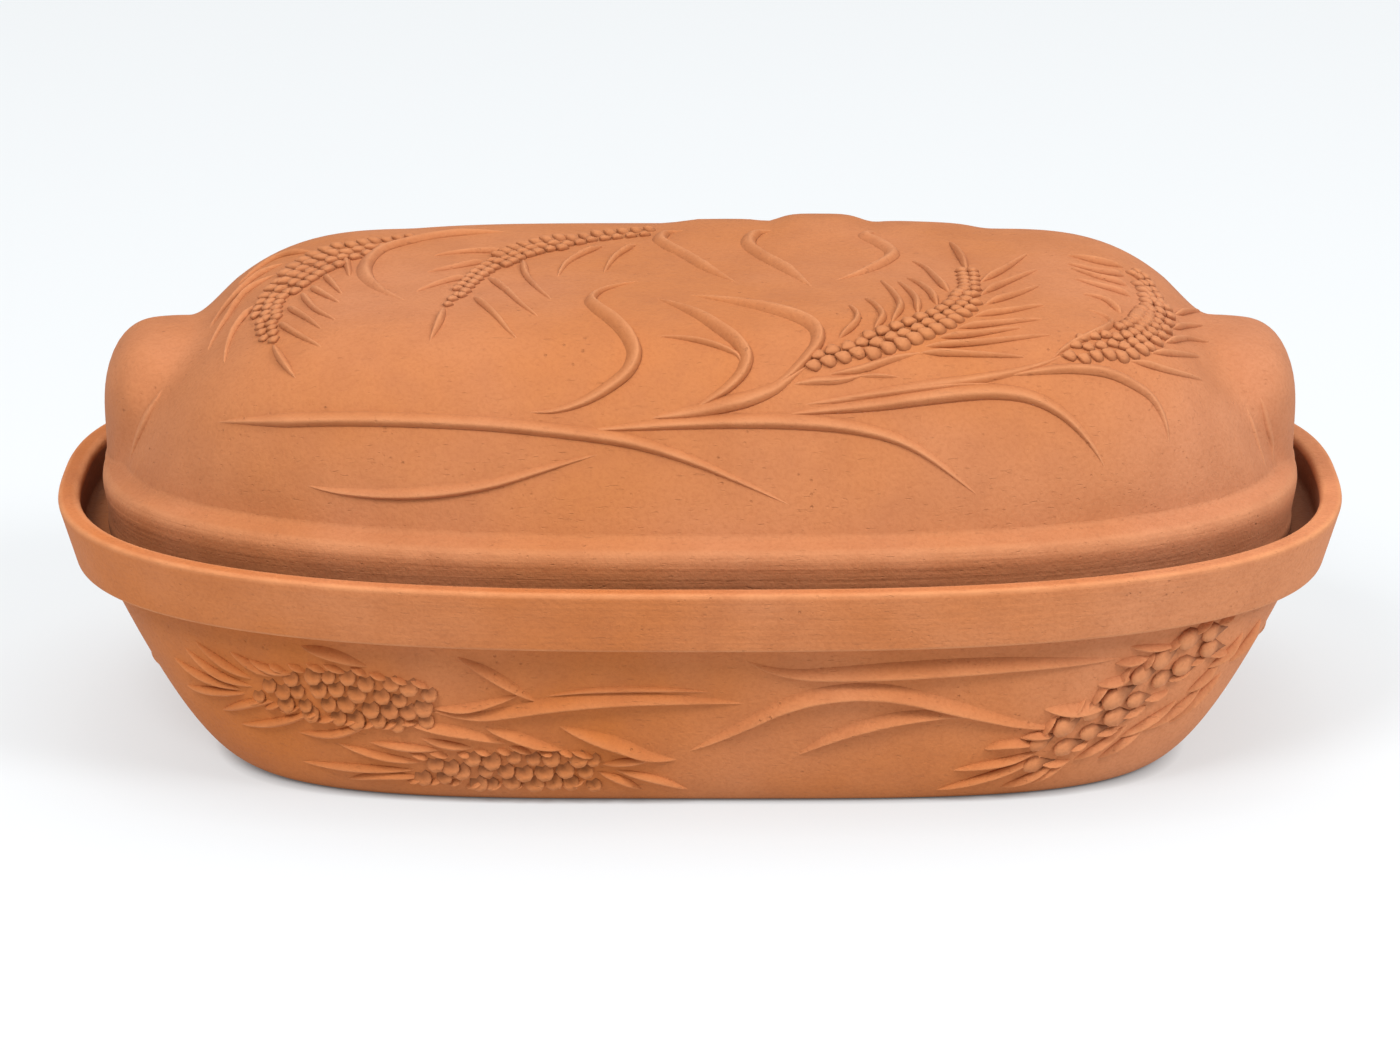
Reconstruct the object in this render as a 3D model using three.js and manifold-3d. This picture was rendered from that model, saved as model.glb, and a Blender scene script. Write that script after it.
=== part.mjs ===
// Covered bread baker in unglazed terracotta: a boat-shaped base with a flared collar, and a domed lid
// that stands on the ledge inside the collar and is lifted by a moulded lug at each end. Both carry
// wheat ears, leaves and stalks in low relief.
// Millimetres, +Z up, +X along the length, origin at the middle of the flat underside.
import Module from "manifold-3d";
import * as THREE from "three";

// Driving dimensions of the base
const RIM_LENGTH = 360;
const RIM_WIDTH = 213;
const RIM_POWER = 2.7;
const BASE_HEIGHT = 70;
const COLLAR_HEIGHT = 18;
const COLLAR_DRAFT = 5;
const COLLAR_OVERHANG = 6.5;
const RIM_THICKNESS = 6.3;
const RIM_EDGE = 1.4;
const LEDGE_DEPTH = 11;
const UNDERSIDE_LENGTH = 256;
const UNDERSIDE_WIDTH = 148;
const UNDERSIDE_POWER = 3.9;
const BILGE_ROUNDNESS = 1.1;
const BASE_WALL = 7;
const BASE_FLOOR = 8;

// Driving dimensions of the lid
const OVERALL_HEIGHT = 129.6;
const LID_SIDE_GAP = 6;
const LID_SEAT_GAP = 0.3;
const LID_WALL = 7;
const SKIRT_DRAFT = 1.5;
const FOOT_EDGE = 1.2;
const SHOULDER_RISE = 6.6;
const SHOULDER_EDGE = 2.4;
const FLARE_WIDTH = 6.5;
const FLARE_HEIGHT = 4;
const FLARE_POWER = 1.8;
const DOME_POWER = 6.4;
const CROWN_POWER = 4.4;

// Driving dimensions of the broad leaves that swell the far side of the crown
const SWELL_BACK = 56;
const SWELL_HALF_LENGTH = 46;
const SWELL_DEPTH = 29.6;
const SWELL_FADE = 14;
const CROWN_SWELLS = [
  { middle: 4, halfWidth: 21, height: 1.2 },
  { middle: 33, halfWidth: 19, height: 2.7 },
  { middle: 60, halfWidth: 20, height: 1.1 },
];

// Driving dimensions of the two lugs
const LUG_SPAN = 334;
const LUG_BELOW_CROWN = 16.1;
const LUG_ABOVE_SHOULDER = 7.4;
const LUG_TOP = OVERALL_HEIGHT - LUG_BELOW_CROWN;
const LUG_HEIGHT = LUG_TOP - LUG_ABOVE_SHOULDER - SHOULDER_RISE - BASE_HEIGHT;
const LUG_NOSE = 18;
const LUG_HALF_WIDTH = 31;
const LUG_FILLET = 6;
const SADDLE_DIP = 0.8;
const LUG_OUT_POWER = 2.8;
const LUG_SIDE_POWER = 2.2;
const LUG_UP_POWER = 3.2;

// Driving dimensions of the moulded wheat; its drawing is made for a baker of the drawn sizes and is seen
// from an eye in front of it
const DRAWN_RIM_LENGTH = 360;
const DRAWN_RIM_WIDTH = 213;
const DRAWN_BASE_HEIGHT = 70;
const DRAWN_OVERALL_HEIGHT = 129.6;
const EYE_DISTANCE = 1500;
const EYE_ELEVATION = THREE.MathUtils.degToRad(18);
const RELIEF_SINK = 1;
const JOIN_TOLERANCE = 0.03;
const LEAF_HEIGHT = 2.1;
const LEAF_FULLNESS = 0.6;
const LEAF_CREST = 0.64;
const EAR_HEIGHT = 2.6;
const EAR_FULLNESS = 0.35;
const GRAIN_LENGTH = 4.3;
const GRAIN_GROOVE = 0.35;

// Steps of the faceted surfaces: counts, and shares of the way along each run
const STEPS_ROUND = 76;
const FINE_STEPS = 4000;
const END_DENSITY = 2;
const END_SHARPNESS = 12;
const HALVINGS = 30;
const LEAST_LEAF_STEPS = 3;
const STEPS_TO_OUTLINE = 50;
const WALL_SHARES = [0, 0.14, 0.27, 0.4, 0.55, 0.7, 0.85, 1];
const DISH_SHARES = [1, 0.7, 0.4, 0.18, 0];
const FLARE_SHARES = [0.25, 0.6];
const LUG_SHARES = [0.88, 0.7, 0.5, 0.33, 0.2, 0.12, 0.075, 0.05, 0.03, 0, -0.08];
const CROWN_SHARES = [0.77, 0.66, 0.48, 0.24];
const LUG_HOLLOW_SHARES = [-0.1, 0, 0.1, 0.35, 0.75];
const CROWN_HOLLOW_SHARES = [0.35, 0.65];

const TERRACOTTA = 0xd08a5c;

// Angles that spread the points of the rim's superellipse along its length, closer together at the ends.
function ringAngles(count) {
  const rim = ringOf(0, 0);
  const lengths = [0];
  let last = planPoint(rim, 0);
  for (let i = 1; i <= FINE_STEPS; i += 1) {
    const next = planPoint(rim, (i / FINE_STEPS) * 2 * Math.PI);
    const weight = 1 + END_DENSITY * Math.abs(next.x / rim.halfLength) ** END_SHARPNESS;
    lengths.push(lengths[i - 1] + weight * last.distanceTo(next));
    last = next;
  }
  const angles = [];
  let at = 0;
  for (let k = 0; k < count; k += 1) {
    while (lengths[at + 1] < (k / count) * lengths[FINE_STEPS]) at += 1;
    angles.push((at / FINE_STEPS) * 2 * Math.PI);
  }
  return angles;
}

// A ring of the rim's plan, drawn in by an inset at a height.
function ringOf(inset, z) {
  return { halfLength: RIM_LENGTH / 2 - inset, halfWidth: RIM_WIDTH / 2 - inset, power: RIM_POWER, z };
}

// A point of a ring's superellipse.
function planPoint(ring, angle) {
  const c = Math.cos(angle);
  const s = Math.sin(angle);
  const x = ring.halfLength * Math.sign(c) * Math.abs(c) ** (2 / ring.power);
  const y = ring.halfWidth * Math.sign(s) * Math.abs(s) ** (2 / ring.power);
  return new THREE.Vector3(x, y, ring.z);
}

// A ring between two rings, a share of the way, at its own height.
function mixRings(from, to, share, z) {
  const mix = (key) => from[key] + (to[key] - from[key]) * share;
  return { halfLength: mix("halfLength"), halfWidth: mix("halfWidth"), power: mix("power"), z };
}

// One closed skin through rings of points, from a pole below or inside to a pole above or outside.
function loft(rows, firstPole, lastPole) {
  const count = rows[0].length;
  const points = [firstPole, ...rows.flat(), lastPole];
  const faces = [];
  const last = points.length - 1;
  const at = (row, i) => 1 + row * count + (i % count);
  for (let i = 0; i < count; i += 1) {
    faces.push(0, at(0, i + 1), at(0, i));
    for (let row = 0; row + 1 < rows.length; row += 1) {
      faces.push(at(row, i), at(row, i + 1), at(row + 1, i + 1));
      faces.push(at(row, i), at(row + 1, i + 1), at(row + 1, i));
    }
    faces.push(last, at(rows.length - 1, i), at(rows.length - 1, i + 1));
  }
  const geometry = new THREE.BufferGeometry();
  geometry.setAttribute("position", new THREE.Float32BufferAttribute(points.flatMap((p) => p.toArray()), 3));
  geometry.setIndex(faces);
  geometry.computeVertexNormals();
  return geometry;
}

// The flat underside's plan, drawn in by an inset for the floor inside.
function undersideRing(inset, z) {
  const halfLength = UNDERSIDE_LENGTH / 2 - inset;
  const halfWidth = UNDERSIDE_WIDTH / 2 - inset;
  return { halfLength, halfWidth, power: UNDERSIDE_POWER, z };
}

// The base's wall between the underside and the collar: rounded at the bilge, then nearly straight.
function wallRings(foot, top, shares) {
  return shares.map((share) => {
    const reach = share * share * (1 + 2 * BILGE_ROUNDNESS);
    const rise = Math.sqrt(BILGE_ROUNDNESS ** 2 + reach) - BILGE_ROUNDNESS;
    return mixRings(foot, top, share, foot.z + (top.z - foot.z) * rise);
  });
}

// The base, from the middle of its underside up the outside, over the rim and down to the floor inside.
function baseGeometry(angles) {
  const collarFoot = BASE_HEIGHT - COLLAR_HEIGHT;
  const ledge = BASE_HEIGHT - LEDGE_DEPTH;
  const wallInset = COLLAR_DRAFT + COLLAR_OVERHANG;
  const underside = undersideRing(0, 0);
  const floor = undersideRing(BASE_WALL, BASE_FLOOR);
  const rings = [
    ...wallRings(underside, ringOf(wallInset, collarFoot), WALL_SHARES),
    ringOf(COLLAR_DRAFT + RIM_EDGE, collarFoot),
    ringOf(COLLAR_DRAFT, collarFoot + RIM_EDGE),
    ringOf(0, BASE_HEIGHT - RIM_EDGE),
    ringOf(RIM_EDGE, BASE_HEIGHT),
    ringOf(RIM_THICKNESS - RIM_EDGE, BASE_HEIGHT),
    ringOf(RIM_THICKNESS, BASE_HEIGHT - RIM_EDGE),
    ringOf(RIM_THICKNESS, ledge),
    ...wallRings(floor, ringOf(wallInset + BASE_WALL, ledge), DISH_SHARES),
  ];
  const rows = rings.map((ring) => angles.map((angle) => planPoint(ring, angle)));
  return loft(rows, new THREE.Vector3(0, 0, 0), new THREE.Vector3(0, 0, BASE_FLOOR));
}

// The dome's foot, where the wall starts above the flare, a wall's thickness in for the inside.
function domeFoot(inset) {
  const height = BASE_HEIGHT + SHOULDER_RISE + FLARE_HEIGHT;
  return ringOf(RIM_THICKNESS + LID_SIDE_GAP + FLARE_WIDTH + inset, height);
}

// A ring of the dome at a share of its foot's size: flat on top, ever steeper towards the foot.
function domeRing(share, inset) {
  const foot = domeFoot(inset);
  const crown = OVERALL_HEIGHT - inset;
  const z = crown - (crown - foot.z) * share ** DOME_POWER;
  const power = CROWN_POWER + (foot.power - CROWN_POWER) * share ** DOME_POWER;
  return { halfLength: foot.halfLength * share, halfWidth: foot.halfWidth * share, power, z };
}

// The share of the dome's foot at which its ring lies at a height.
function domeShare(z, inset) {
  const crown = OVERALL_HEIGHT - inset;
  return ((crown - z) / (crown - domeFoot(inset).z)) ** (1 / DOME_POWER);
}

// The ring of the lid's outside at a height above the shoulder: concave flare first, then the dome.
function lidRingAt(z, inset) {
  const foot = domeFoot(inset);
  if (z >= foot.z) return domeRing(domeShare(Math.min(z, OVERALL_HEIGHT - inset), inset), inset);
  const share = THREE.MathUtils.clamp((foot.z - z) / FLARE_HEIGHT, 0, 1);
  return ringOf(RIM_THICKNESS + LID_SIDE_GAP + FLARE_WIDTH * (1 - share ** FLARE_POWER) + inset, z);
}

// How far a point lies outside the dome, about in millimetres near its ends.
function domeGap(point, inset) {
  const ring = lidRingAt(point.z, inset);
  const along = Math.abs(point.x / ring.halfLength) ** ring.power;
  const across = Math.abs(point.y / ring.halfWidth) ** ring.power;
  return ((along + across) ** (1 / ring.power) - 1) * ring.halfLength;
}

// How far a point lies outside the lug's rounded nose, about in millimetres.
function lugGap(point, inset) {
  const reach = Math.abs(point.x);
  const noseFrom = LUG_SPAN / 2 - LUG_NOSE;
  const dip = SADDLE_DIP * (1 - THREE.MathUtils.smoothstep(reach, noseFrom - LUG_NOSE, noseFrom));
  const out = Math.max(0, reach - noseFrom) / (LUG_NOSE - inset);
  const side = Math.abs(point.y) / (LUG_HALF_WIDTH - inset);
  const up = Math.max(0, point.z - LUG_TOP + LUG_HEIGHT) / (LUG_HEIGHT - inset - dip);
  const size = (out ** LUG_OUT_POWER + side ** LUG_SIDE_POWER + up ** LUG_UP_POWER) ** (1 / LUG_OUT_POWER);
  return (size - 1) * LUG_NOSE;
}

// How far a point lies outside the lid, with the lug run into the dome by a fillet.
function lidGap(point, inset) {
  const dome = domeGap(point, inset);
  const lug = lugGap(point, inset);
  const share = THREE.MathUtils.clamp(0.5 + (dome - lug) / (2 * LUG_FILLET), 0, 1);
  return THREE.MathUtils.lerp(dome, lug, share) - LUG_FILLET * share * (1 - share);
}

// A point of the lid: out from the middle through the dome's point until it leaves the lug.
function lidPoint(ring, angle, inset) {
  const start = planPoint(ring, angle);
  const middle = new THREE.Vector3(0, 0, BASE_HEIGHT + SHOULDER_RISE);
  if (ring.z <= middle.z || lidGap(start, inset) >= 0) return start;
  const farthest = middle.clone().lerp(start, LUG_SPAN / 2 / Math.abs(start.x) + 0.5);
  let inside = start;
  let outside = farthest;
  for (let step = 0; step < HALVINGS; step += 1) {
    const half = inside.clone().lerp(outside, 0.5);
    if (lidGap(half, inset) < 0) inside = half;
    else outside = half;
  }
  return inside;
}

// A point of the lid's outside, lifted where a broad leaf runs over the crown.
function swollen(point) {
  const bell = (share) => (1 - Math.min(1, Math.abs(share)) ** 2) ** 2;
  const along = bell((point.y - SWELL_BACK) / SWELL_HALF_LENGTH);
  const high = THREE.MathUtils.clamp((point.z - OVERALL_HEIGHT + SWELL_DEPTH) / SWELL_FADE, 0, 1);
  for (const { middle, halfWidth, height } of CROWN_SWELLS) {
    point.z += height * bell((point.x - middle) / halfWidth) * along * high;
  }
  return point;
}

// The lid, from the crown's underside down the inside, round the foot and up the outside to the crown.
function lidGeometry(angles) {
  const skirt = RIM_THICKNESS + LID_SIDE_GAP;
  const footInset = skirt + SKIRT_DRAFT;
  const foot = BASE_HEIGHT - LEDGE_DEPTH + LID_SEAT_GAP;
  const shoulder = BASE_HEIGHT + SHOULDER_RISE;
  const lugLevel = (share, inset) => lidRingAt(LUG_TOP - inset - share * LUG_HEIGHT, inset);
  const inner = [
    ...CROWN_HOLLOW_SHARES.map((share) => domeRing(share, LID_WALL)),
    ...LUG_HOLLOW_SHARES.map((share) => lugLevel(share, LID_WALL)),
    domeRing(1, LID_WALL),
    ringOf(footInset + LID_WALL, foot + FOOT_EDGE),
    ringOf(footInset + LID_WALL - FOOT_EDGE, foot),
  ];
  const outer = [
    ringOf(footInset + FOOT_EDGE, foot),
    ringOf(footInset, foot + FOOT_EDGE),
    ringOf(skirt, shoulder - SHOULDER_EDGE),
    ...FLARE_SHARES.map((share) => lidRingAt(shoulder + share * FLARE_HEIGHT, 0)),
    domeRing(1, 0),
    ...LUG_SHARES.map((share) => lugLevel(share, 0)),
    ...CROWN_SHARES.map((share) => domeRing(share, 0)),
  ];
  const rows = [
    ...inner.map((ring) => angles.map((angle) => lidPoint(ring, angle, LID_WALL))),
    ...outer.map((ring) => angles.map((angle) => swollen(lidPoint(ring, angle, 0)))),
  ];
  const inside = new THREE.Vector3(0, 0, OVERALL_HEIGHT - LID_WALL);
  return loft(rows, inside, new THREE.Vector3(0, 0, OVERALL_HEIGHT));
}

// A leaf or stalk of the drawing: across and up on the front view, then over the crown on the back view.
// Drawn from left to right, its crest lies nearer the lower edge.
function leaf(width, step, line, over = []) {
  const places = [0, LEAF_CREST, 1];
  return { width, step, line, over, places, height: LEAF_HEIGHT, fullness: LEAF_FULLNESS, groove: 1 };
}

// An ear of wheat: its grains stand in staggered columns along the line, from its root to its tip.
function ear(width, columns, line) {
  const places = Array.from({ length: columns + 2 }, (_, column) => column / (columns + 1));
  const grain = { step: GRAIN_LENGTH, height: EAR_HEIGHT, fullness: EAR_FULLNESS, groove: GRAIN_GROOVE };
  return { width, line, over: [], places, ...grain };
}

const LID_LEAVES = [
  leaf(6.4, 18, [[-136, 13.6], [-90, 14.4], [-45, 11.8], [-10, 5.6], [28, -11]]),
  leaf(6.4, 16, [[-34, 11.2], [0, 13.8], [35, 13.2], [60, 6.9], [80, -8.4]]),
  leaf(5.2, 18, [[-112, -4], [-85, -6.5], [-55, -2.6], [-27, 5]]),
  leaf(6, 16, [[24, 15.8], [62, 20.5], [92, 21], [107, 11.8], [115, -0.5]]),
  leaf(4, 20, [[28, 18.4], [75, 25.4], [104, 33.2]]),
  leaf(4.2, 12, [[86, 26.6], [108, 28.7], [127, 20.7], [132.6, 6]]),
];
const LID_FRONT_LEAVES = [
  leaf(5.6, 10, [[-49, 16.4], [-33, 19.5], [-19, 30], [-23, 40.5], [-31, 47.6], [-16, 53.6]]),
  leaf(5, 11, [[-5, 15.5], [8, 23.6], [13, 32], [4, 40.6], [-13, 48.8]]),
  leaf(5.2, 11, [[17, 21.6], [29.5, 31.4], [32.6, 39.6], [20, 45], [-4, 49.7]]),
  leaf(5.4, 14, [[-14, 14.8], [10, 19.4], [31, 30]]),
];
const CROWN_LEAVES = [
  leaf(7, 16, [[11, 52.6], [-3, 59.3], [-12, 64.8]], [[6, 40], [9, 33], [0, 18.5], [-8, 14.6]]),
  leaf(7, 16, [[32, 51], [19, 58], [12.6, 64]], [[-26, 40], [-22, 32], [-29, 18.5], [-37, 13.6]]),
  leaf(7, 15, [[37, 53.6], [51, 57.8], [54.4, 60.3], [44.8, 65.2]], [[-52, 41], [-58, 20], [-67, 14.6]]),
  leaf(7, 15, [[-82, 47.4], [-94.3, 54.6], [-90, 61.9]], [[72, 42], [60, 30], [50, 23]]),
  leaf(5, 18, [[-14, 67]], [[9, 42], [24, 29], [8, 18.4], [-4, 15.6]]),
  leaf(5, 18, [[-82, 65.6]], [[78, 43], [58, 30], [30, 18.6]]),
];
const LID_EARS = [
  ear(12.6, 4, [[31, 30.4], [50, 35.9], [69, 43.2], [75.8, 49.6], [75.2, 56.6]]),
  ear(15, 4, [[103.5, 33.4], [121, 38], [129, 44.5], [121.5, 57.4]]),
  ear(13.5, 3, [[-13, 67.2], [-37, 64.2], [-55, 59.3], [-66, 51.8], [-72, 45.8]]),
  ear(14.5, 4, [[-79, 66.2], [-100, 61.4], [-114, 54], [-122, 43.5], [-121.4, 36]]),
];
const BASE_LEAVES = [
  leaf(5.4, 18, [[-77, -67.6], [-62, -69.2], [-33, -64.9], [-8, -64.4], [14, -65.9]]),
  leaf(4, 16, [[-69, -52.4], [-45.5, -65.6]]),
  leaf(4, 14, [[-84, -71], [-54, -77.2]]),
  leaf(5.4, 15, [[-40, -72], [-22, -77.6], [-6, -81.7]]),
  leaf(6.4, 20, [[12, -53.4], [28, -57.4], [72, -55.4], [120, -52.8]]),
  leaf(6, 18, [[-4, -79.6], [22, -67], [45, -62.2], [71, -66.6], [106, -70.6]]),
  leaf(5, 18, [[27, -80.6], [53, -70.3], [80, -70]]),
  leaf(4, 15, [[-146, -49.6], [-137, -52.6], [-126, -59]]),
  leaf(4, 15, [[-113, -82], [-80, -84.6]]),
  leaf(4, 15, [[66, -90.4], [97, -80.4]]),
  leaf(4, 15, [[118, -75.6], [142.5, -59.6]]),
];
const BASE_EARS = [
  ear(16, 4, [[-75, -66.4], [-105, -63], [-125, -61]]),
  ear(13.5, 3, [[-28, -84.2], [-56, -84.2], [-80, -84.4]]),
  ear(13.5, 3, [[92, -81], [111, -70.4], [127.5, -58.4], [147, -46.6]]),
];

// Where a line first meets the clay, with the clay's direction there.
function firstMeeting(clay, from, way) {
  const [hit] = new THREE.Raycaster(from, way.clone().normalize()).intersectObject(clay);
  return hit && { at: hit.point, up: hit.normal };
}

// A drawn point laid on the clay along the line of sight, from the front (1) or from the back (-1). The line
// of sight is stretched with the baker, and by its piece's own rise, so that the point keeps its place.
function sighted(clay, [across, up], side, rise) {
  const stretch = new THREE.Vector3(RIM_LENGTH / DRAWN_RIM_LENGTH, RIM_WIDTH / DRAWN_RIM_WIDTH, rise);
  const turned = new THREE.Vector3(side, side, 1);
  const middle = new THREE.Vector3(0, 0, BASE_HEIGHT);
  const upward = new THREE.Vector3(0, Math.sin(EYE_ELEVATION), Math.cos(EYE_ELEVATION));
  const drawn = new THREE.Vector3(across, 0, 0).addScaledVector(upward, up);
  const eye = new THREE.Vector3(0, -Math.cos(EYE_ELEVATION), Math.sin(EYE_ELEVATION)).multiplyScalar(EYE_DISTANCE);
  const [from, to] = [eye, drawn].map((point) => point.multiply(stretch).multiply(turned).add(middle));
  return firstMeeting(clay, from, to.sub(from));
}

// A drawn line laid on the clay. A point past the clay's outline comes in towards the line's middle.
function laidLine(clay, line, side, rise) {
  const middle = [0, 1].map((axis) => line.reduce((sum, spot) => sum + spot[axis], 0) / line.length);
  return line.map((spot) => {
    for (let step = STEPS_TO_OUTLINE; step > 0; step -= 1) {
      const inward = spot.map((value, axis) => THREE.MathUtils.lerp(middle[axis], value, step / STEPS_TO_OUTLINE));
      const hit = sighted(clay, inward, side, rise);
      if (hit) return hit;
    }
    return undefined;
  });
}

// A point near the clay, moved on to its outside along a line from halfway out on the piece's long middle.
function settled(clay, near, middleHeight) {
  const inside = new THREE.Vector3(near.x / 2, 0, middleHeight);
  const out = near.clone().sub(inside);
  return firstMeeting(clay, near.clone().add(out), out.negate());
}

// One raised form of the relief, with its feet below the skin of the clay and a point at each end.
function raisedForm(clay, form, side, { rise, middleHeight }) {
  const front = laidLine(clay, form.line, side, rise);
  const back = laidLine(clay, form.over, -side, rise);
  const knots = [...front, ...back].filter(Boolean).map((knot) => knot.at);
  const curve = new THREE.CatmullRomCurve3(knots, false, "centripetal");
  const steps = Math.max(LEAST_LEAF_STEPS, Math.round(curve.getLength() / form.step));
  const spots = curve.getSpacedPoints(steps).map((point) => settled(clay, point, middleHeight));
  const foot = ({ at, up }) => at.clone().addScaledVector(up, -RELIEF_SINK);
  const rows = [];
  for (let row = 1; row < steps; row += 1) {
    const along = spots[row + 1].at.clone().sub(spots[row - 1].at);
    const aside = spots[row].up.clone().cross(along).normalize();
    const part = Math.sin((Math.PI * row) / steps) ** form.fullness;
    const ring = form.places.map((place, column) => {
      const off = (0.5 - place) * form.width * part;
      const point = settled(clay, spots[row].at.clone().addScaledVector(aside, off), middleHeight);
      if (place === 0 || place === 1) return foot(point);
      const crest = (row + column) % 2 === 0 ? form.groove : 1;
      return point.at.addScaledVector(point.up, form.height * part * crest);
    });
    rows.push(ring);
  }
  return loft(rows, foot(spots[0]), foot(spots[steps]));
}

// A geometry as a solid that can be joined to others.
function solidOf(geometry) {
  const vertProperties = new Float32Array(geometry.attributes.position.array);
  const triVerts = new Uint32Array(geometry.index.array);
  const mesh = new wasm.Mesh({ numProp: 3, vertProperties, triVerts, tolerance: JOIN_TOLERANCE });
  return new wasm.Manifold(mesh);
}

// A shell with its raised forms moulded on: each entry is a form and the side that it is seen from. The
// piece says how much it rises over the drawn one and how high its middle lies.
function moulded(shell, entries, piece) {
  const clay = new THREE.Mesh(shell);
  const forms = entries.map(([form, side]) => solidOf(raisedForm(clay, form, side, piece)));
  const whole = forms.reduce((solid, form) => solid.add(form), solidOf(shell));
  const { vertProperties, triVerts } = whole.getMesh();
  const geometry = new THREE.BufferGeometry();
  geometry.setAttribute("position", new THREE.BufferAttribute(vertProperties, 3));
  geometry.setIndex(new THREE.BufferAttribute(triVerts, 1));
  geometry.computeVertexNormals();
  return geometry;
}

// A named piece in matt fired clay.
function clayPiece(name, geometry) {
  const clay = new THREE.MeshStandardMaterial({ color: TERRACOTTA, roughness: 0.9, metalness: 0 });
  const mesh = new THREE.Mesh(geometry, clay);
  mesh.name = name;
  return mesh;
}

const wasm = await Module();
wasm.setup();
const angles = ringAngles(STEPS_ROUND);
const seenFrom = (side, ...forms) => forms.flat().map((form) => [form, side]);
const lidRelief = [
  ...seenFrom(1, LID_LEAVES, LID_FRONT_LEAVES, CROWN_LEAVES, LID_EARS),
  ...seenFrom(-1, LID_LEAVES),
];
const baseRelief = [...seenFrom(1, BASE_LEAVES, BASE_EARS), ...seenFrom(-1, BASE_LEAVES, BASE_EARS)];
const baseRise = BASE_HEIGHT / DRAWN_BASE_HEIGHT;
const lidRise = (OVERALL_HEIGHT - BASE_HEIGHT) / (DRAWN_OVERALL_HEIGHT - DRAWN_BASE_HEIGHT);
const basePiece = { rise: baseRise, middleHeight: BASE_HEIGHT / 2 };
const lidPiece = { rise: lidRise, middleHeight: BASE_HEIGHT };
const baker = new THREE.Group();
baker.add(clayPiece("base", moulded(baseGeometry(angles), baseRelief, basePiece)));
baker.add(clayPiece("lid", moulded(lidGeometry(angles), lidRelief, lidPiece)));

export default baker;
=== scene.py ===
"""Covered bread baker in terracotta: clay shells, moulded wheat relief, finishes, light and camera."""
import logging
import math
from dataclasses import dataclass, field
from enum import Enum
from typing import ClassVar

import bpy
import numpy as np
from mathutils import Matrix, Vector
from mathutils.bvhtree import BVHTree


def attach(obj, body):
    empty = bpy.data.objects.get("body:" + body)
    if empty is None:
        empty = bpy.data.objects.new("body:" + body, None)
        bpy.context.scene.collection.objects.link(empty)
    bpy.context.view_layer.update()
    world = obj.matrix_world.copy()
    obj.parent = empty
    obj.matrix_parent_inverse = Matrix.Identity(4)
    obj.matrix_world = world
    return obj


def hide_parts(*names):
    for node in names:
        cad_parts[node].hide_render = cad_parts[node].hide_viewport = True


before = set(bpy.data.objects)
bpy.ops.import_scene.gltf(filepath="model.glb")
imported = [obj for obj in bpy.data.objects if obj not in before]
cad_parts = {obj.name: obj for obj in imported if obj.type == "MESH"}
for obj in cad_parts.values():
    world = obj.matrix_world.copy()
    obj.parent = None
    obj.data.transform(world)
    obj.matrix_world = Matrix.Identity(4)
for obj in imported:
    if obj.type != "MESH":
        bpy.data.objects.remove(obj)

log = logging.getLogger("bread_baker")

MM = 0.001
Line = tuple[tuple[float, float], ...]
Triple = tuple[float, float, float]
Span = tuple[float, float, float, float]
Socket = bpy.types.NodeSocket


def placed(name: str, data: bpy.types.ID) -> bpy.types.Object:
    """Puts a new mesh, light or camera into the scene.

    Args:
        name: Name of its object.
        data: The mesh, light or camera.

    Returns:
        The object.
    """
    thing = bpy.data.objects.new(name, data)
    bpy.context.scene.collection.objects.link(thing)
    return thing


def aimed(thing: bpy.types.Object, place: Vector, aim: Vector) -> None:
    """Moves a lamp or camera to its place and turns it to its aim."""
    thing.location = place
    thing.rotation_euler = (aim - place).to_track_quat("-Z", "Y").to_euler()


def summed(steps: np.ndarray) -> np.ndarray:
    """The running sums of some steps, from 0."""
    return np.concatenate([[0.0], np.cumsum(steps)])


def run_lengths(points: np.ndarray) -> np.ndarray:
    """How far along a line each of its points lies."""
    return summed(np.linalg.norm(np.diff(points, axis=0), axis=1))


def interpolated(at: float, marks: np.ndarray, rows: np.ndarray) -> np.ndarray:
    """The row at a place between the marks of some rows."""
    return np.array([np.interp(at, marks, column) for column in rows.T])


def blended(t: np.ndarray, start: float, end: float, first: np.ndarray, last: np.ndarray) -> np.ndarray:
    """Points between two, or between two rows of points, at times between a start and an end."""
    return (end - t) / (end - start) * first + (t - start) / (end - start) * last


def eased(share: np.ndarray) -> np.ndarray:
    """A share from 0 to 1 that sets out and arrives softly."""
    return share * share * (3 - 2 * share)


def drawn(*numbers: float) -> Line:
    """A line on the board, from the millimetres across and up of its points in turn."""
    return tuple(zip(numbers[::2], numbers[1::2]))


class Taper(Enum):
    """How the width of a ridge runs from its start to its end; the values are the numbers of each form."""

    STALK = (0.14, 0.3, 0.7)
    LEAF = (0.92, 0.7)
    AWN = (0.2, 0.6, 0.35)

    def widths(self, shares: np.ndarray) -> np.ndarray:
        """The width at points along a ridge.

        Args:
            shares: Shares of the ridge's length, 0 to 1.

        Returns:
            Parts of the full width, 0 to 1.
        """
        if self is Taper.LEAF:
            shift, fullness = self.value
            return np.sin(math.pi * np.clip(shares, 0, 1) ** shift) ** fullness
        if self is Taper.AWN:
            start, start_power, end_power = self.value
            return np.minimum(1.0, shares / start) ** start_power * np.clip(1 - shares, 0, 1) ** end_power
        start, end, power = self.value
        return np.minimum(np.clip(shares / start, 0, 1), np.clip((1 - shares) / end, 0, 1)) ** power


class Side(Enum):
    """The side of the baker that a drawing is laid on; the value is its turn in degrees from the front."""

    FRONT = 0.0
    RIGHT = 90.0
    BACK = 180.0
    LEFT = 270.0

    def turned(self, point: Vector) -> Vector:
        """A point of the front view, turned to this side."""
        return Matrix.Rotation(math.radians(self.value), 3, "Z") @ point


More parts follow.
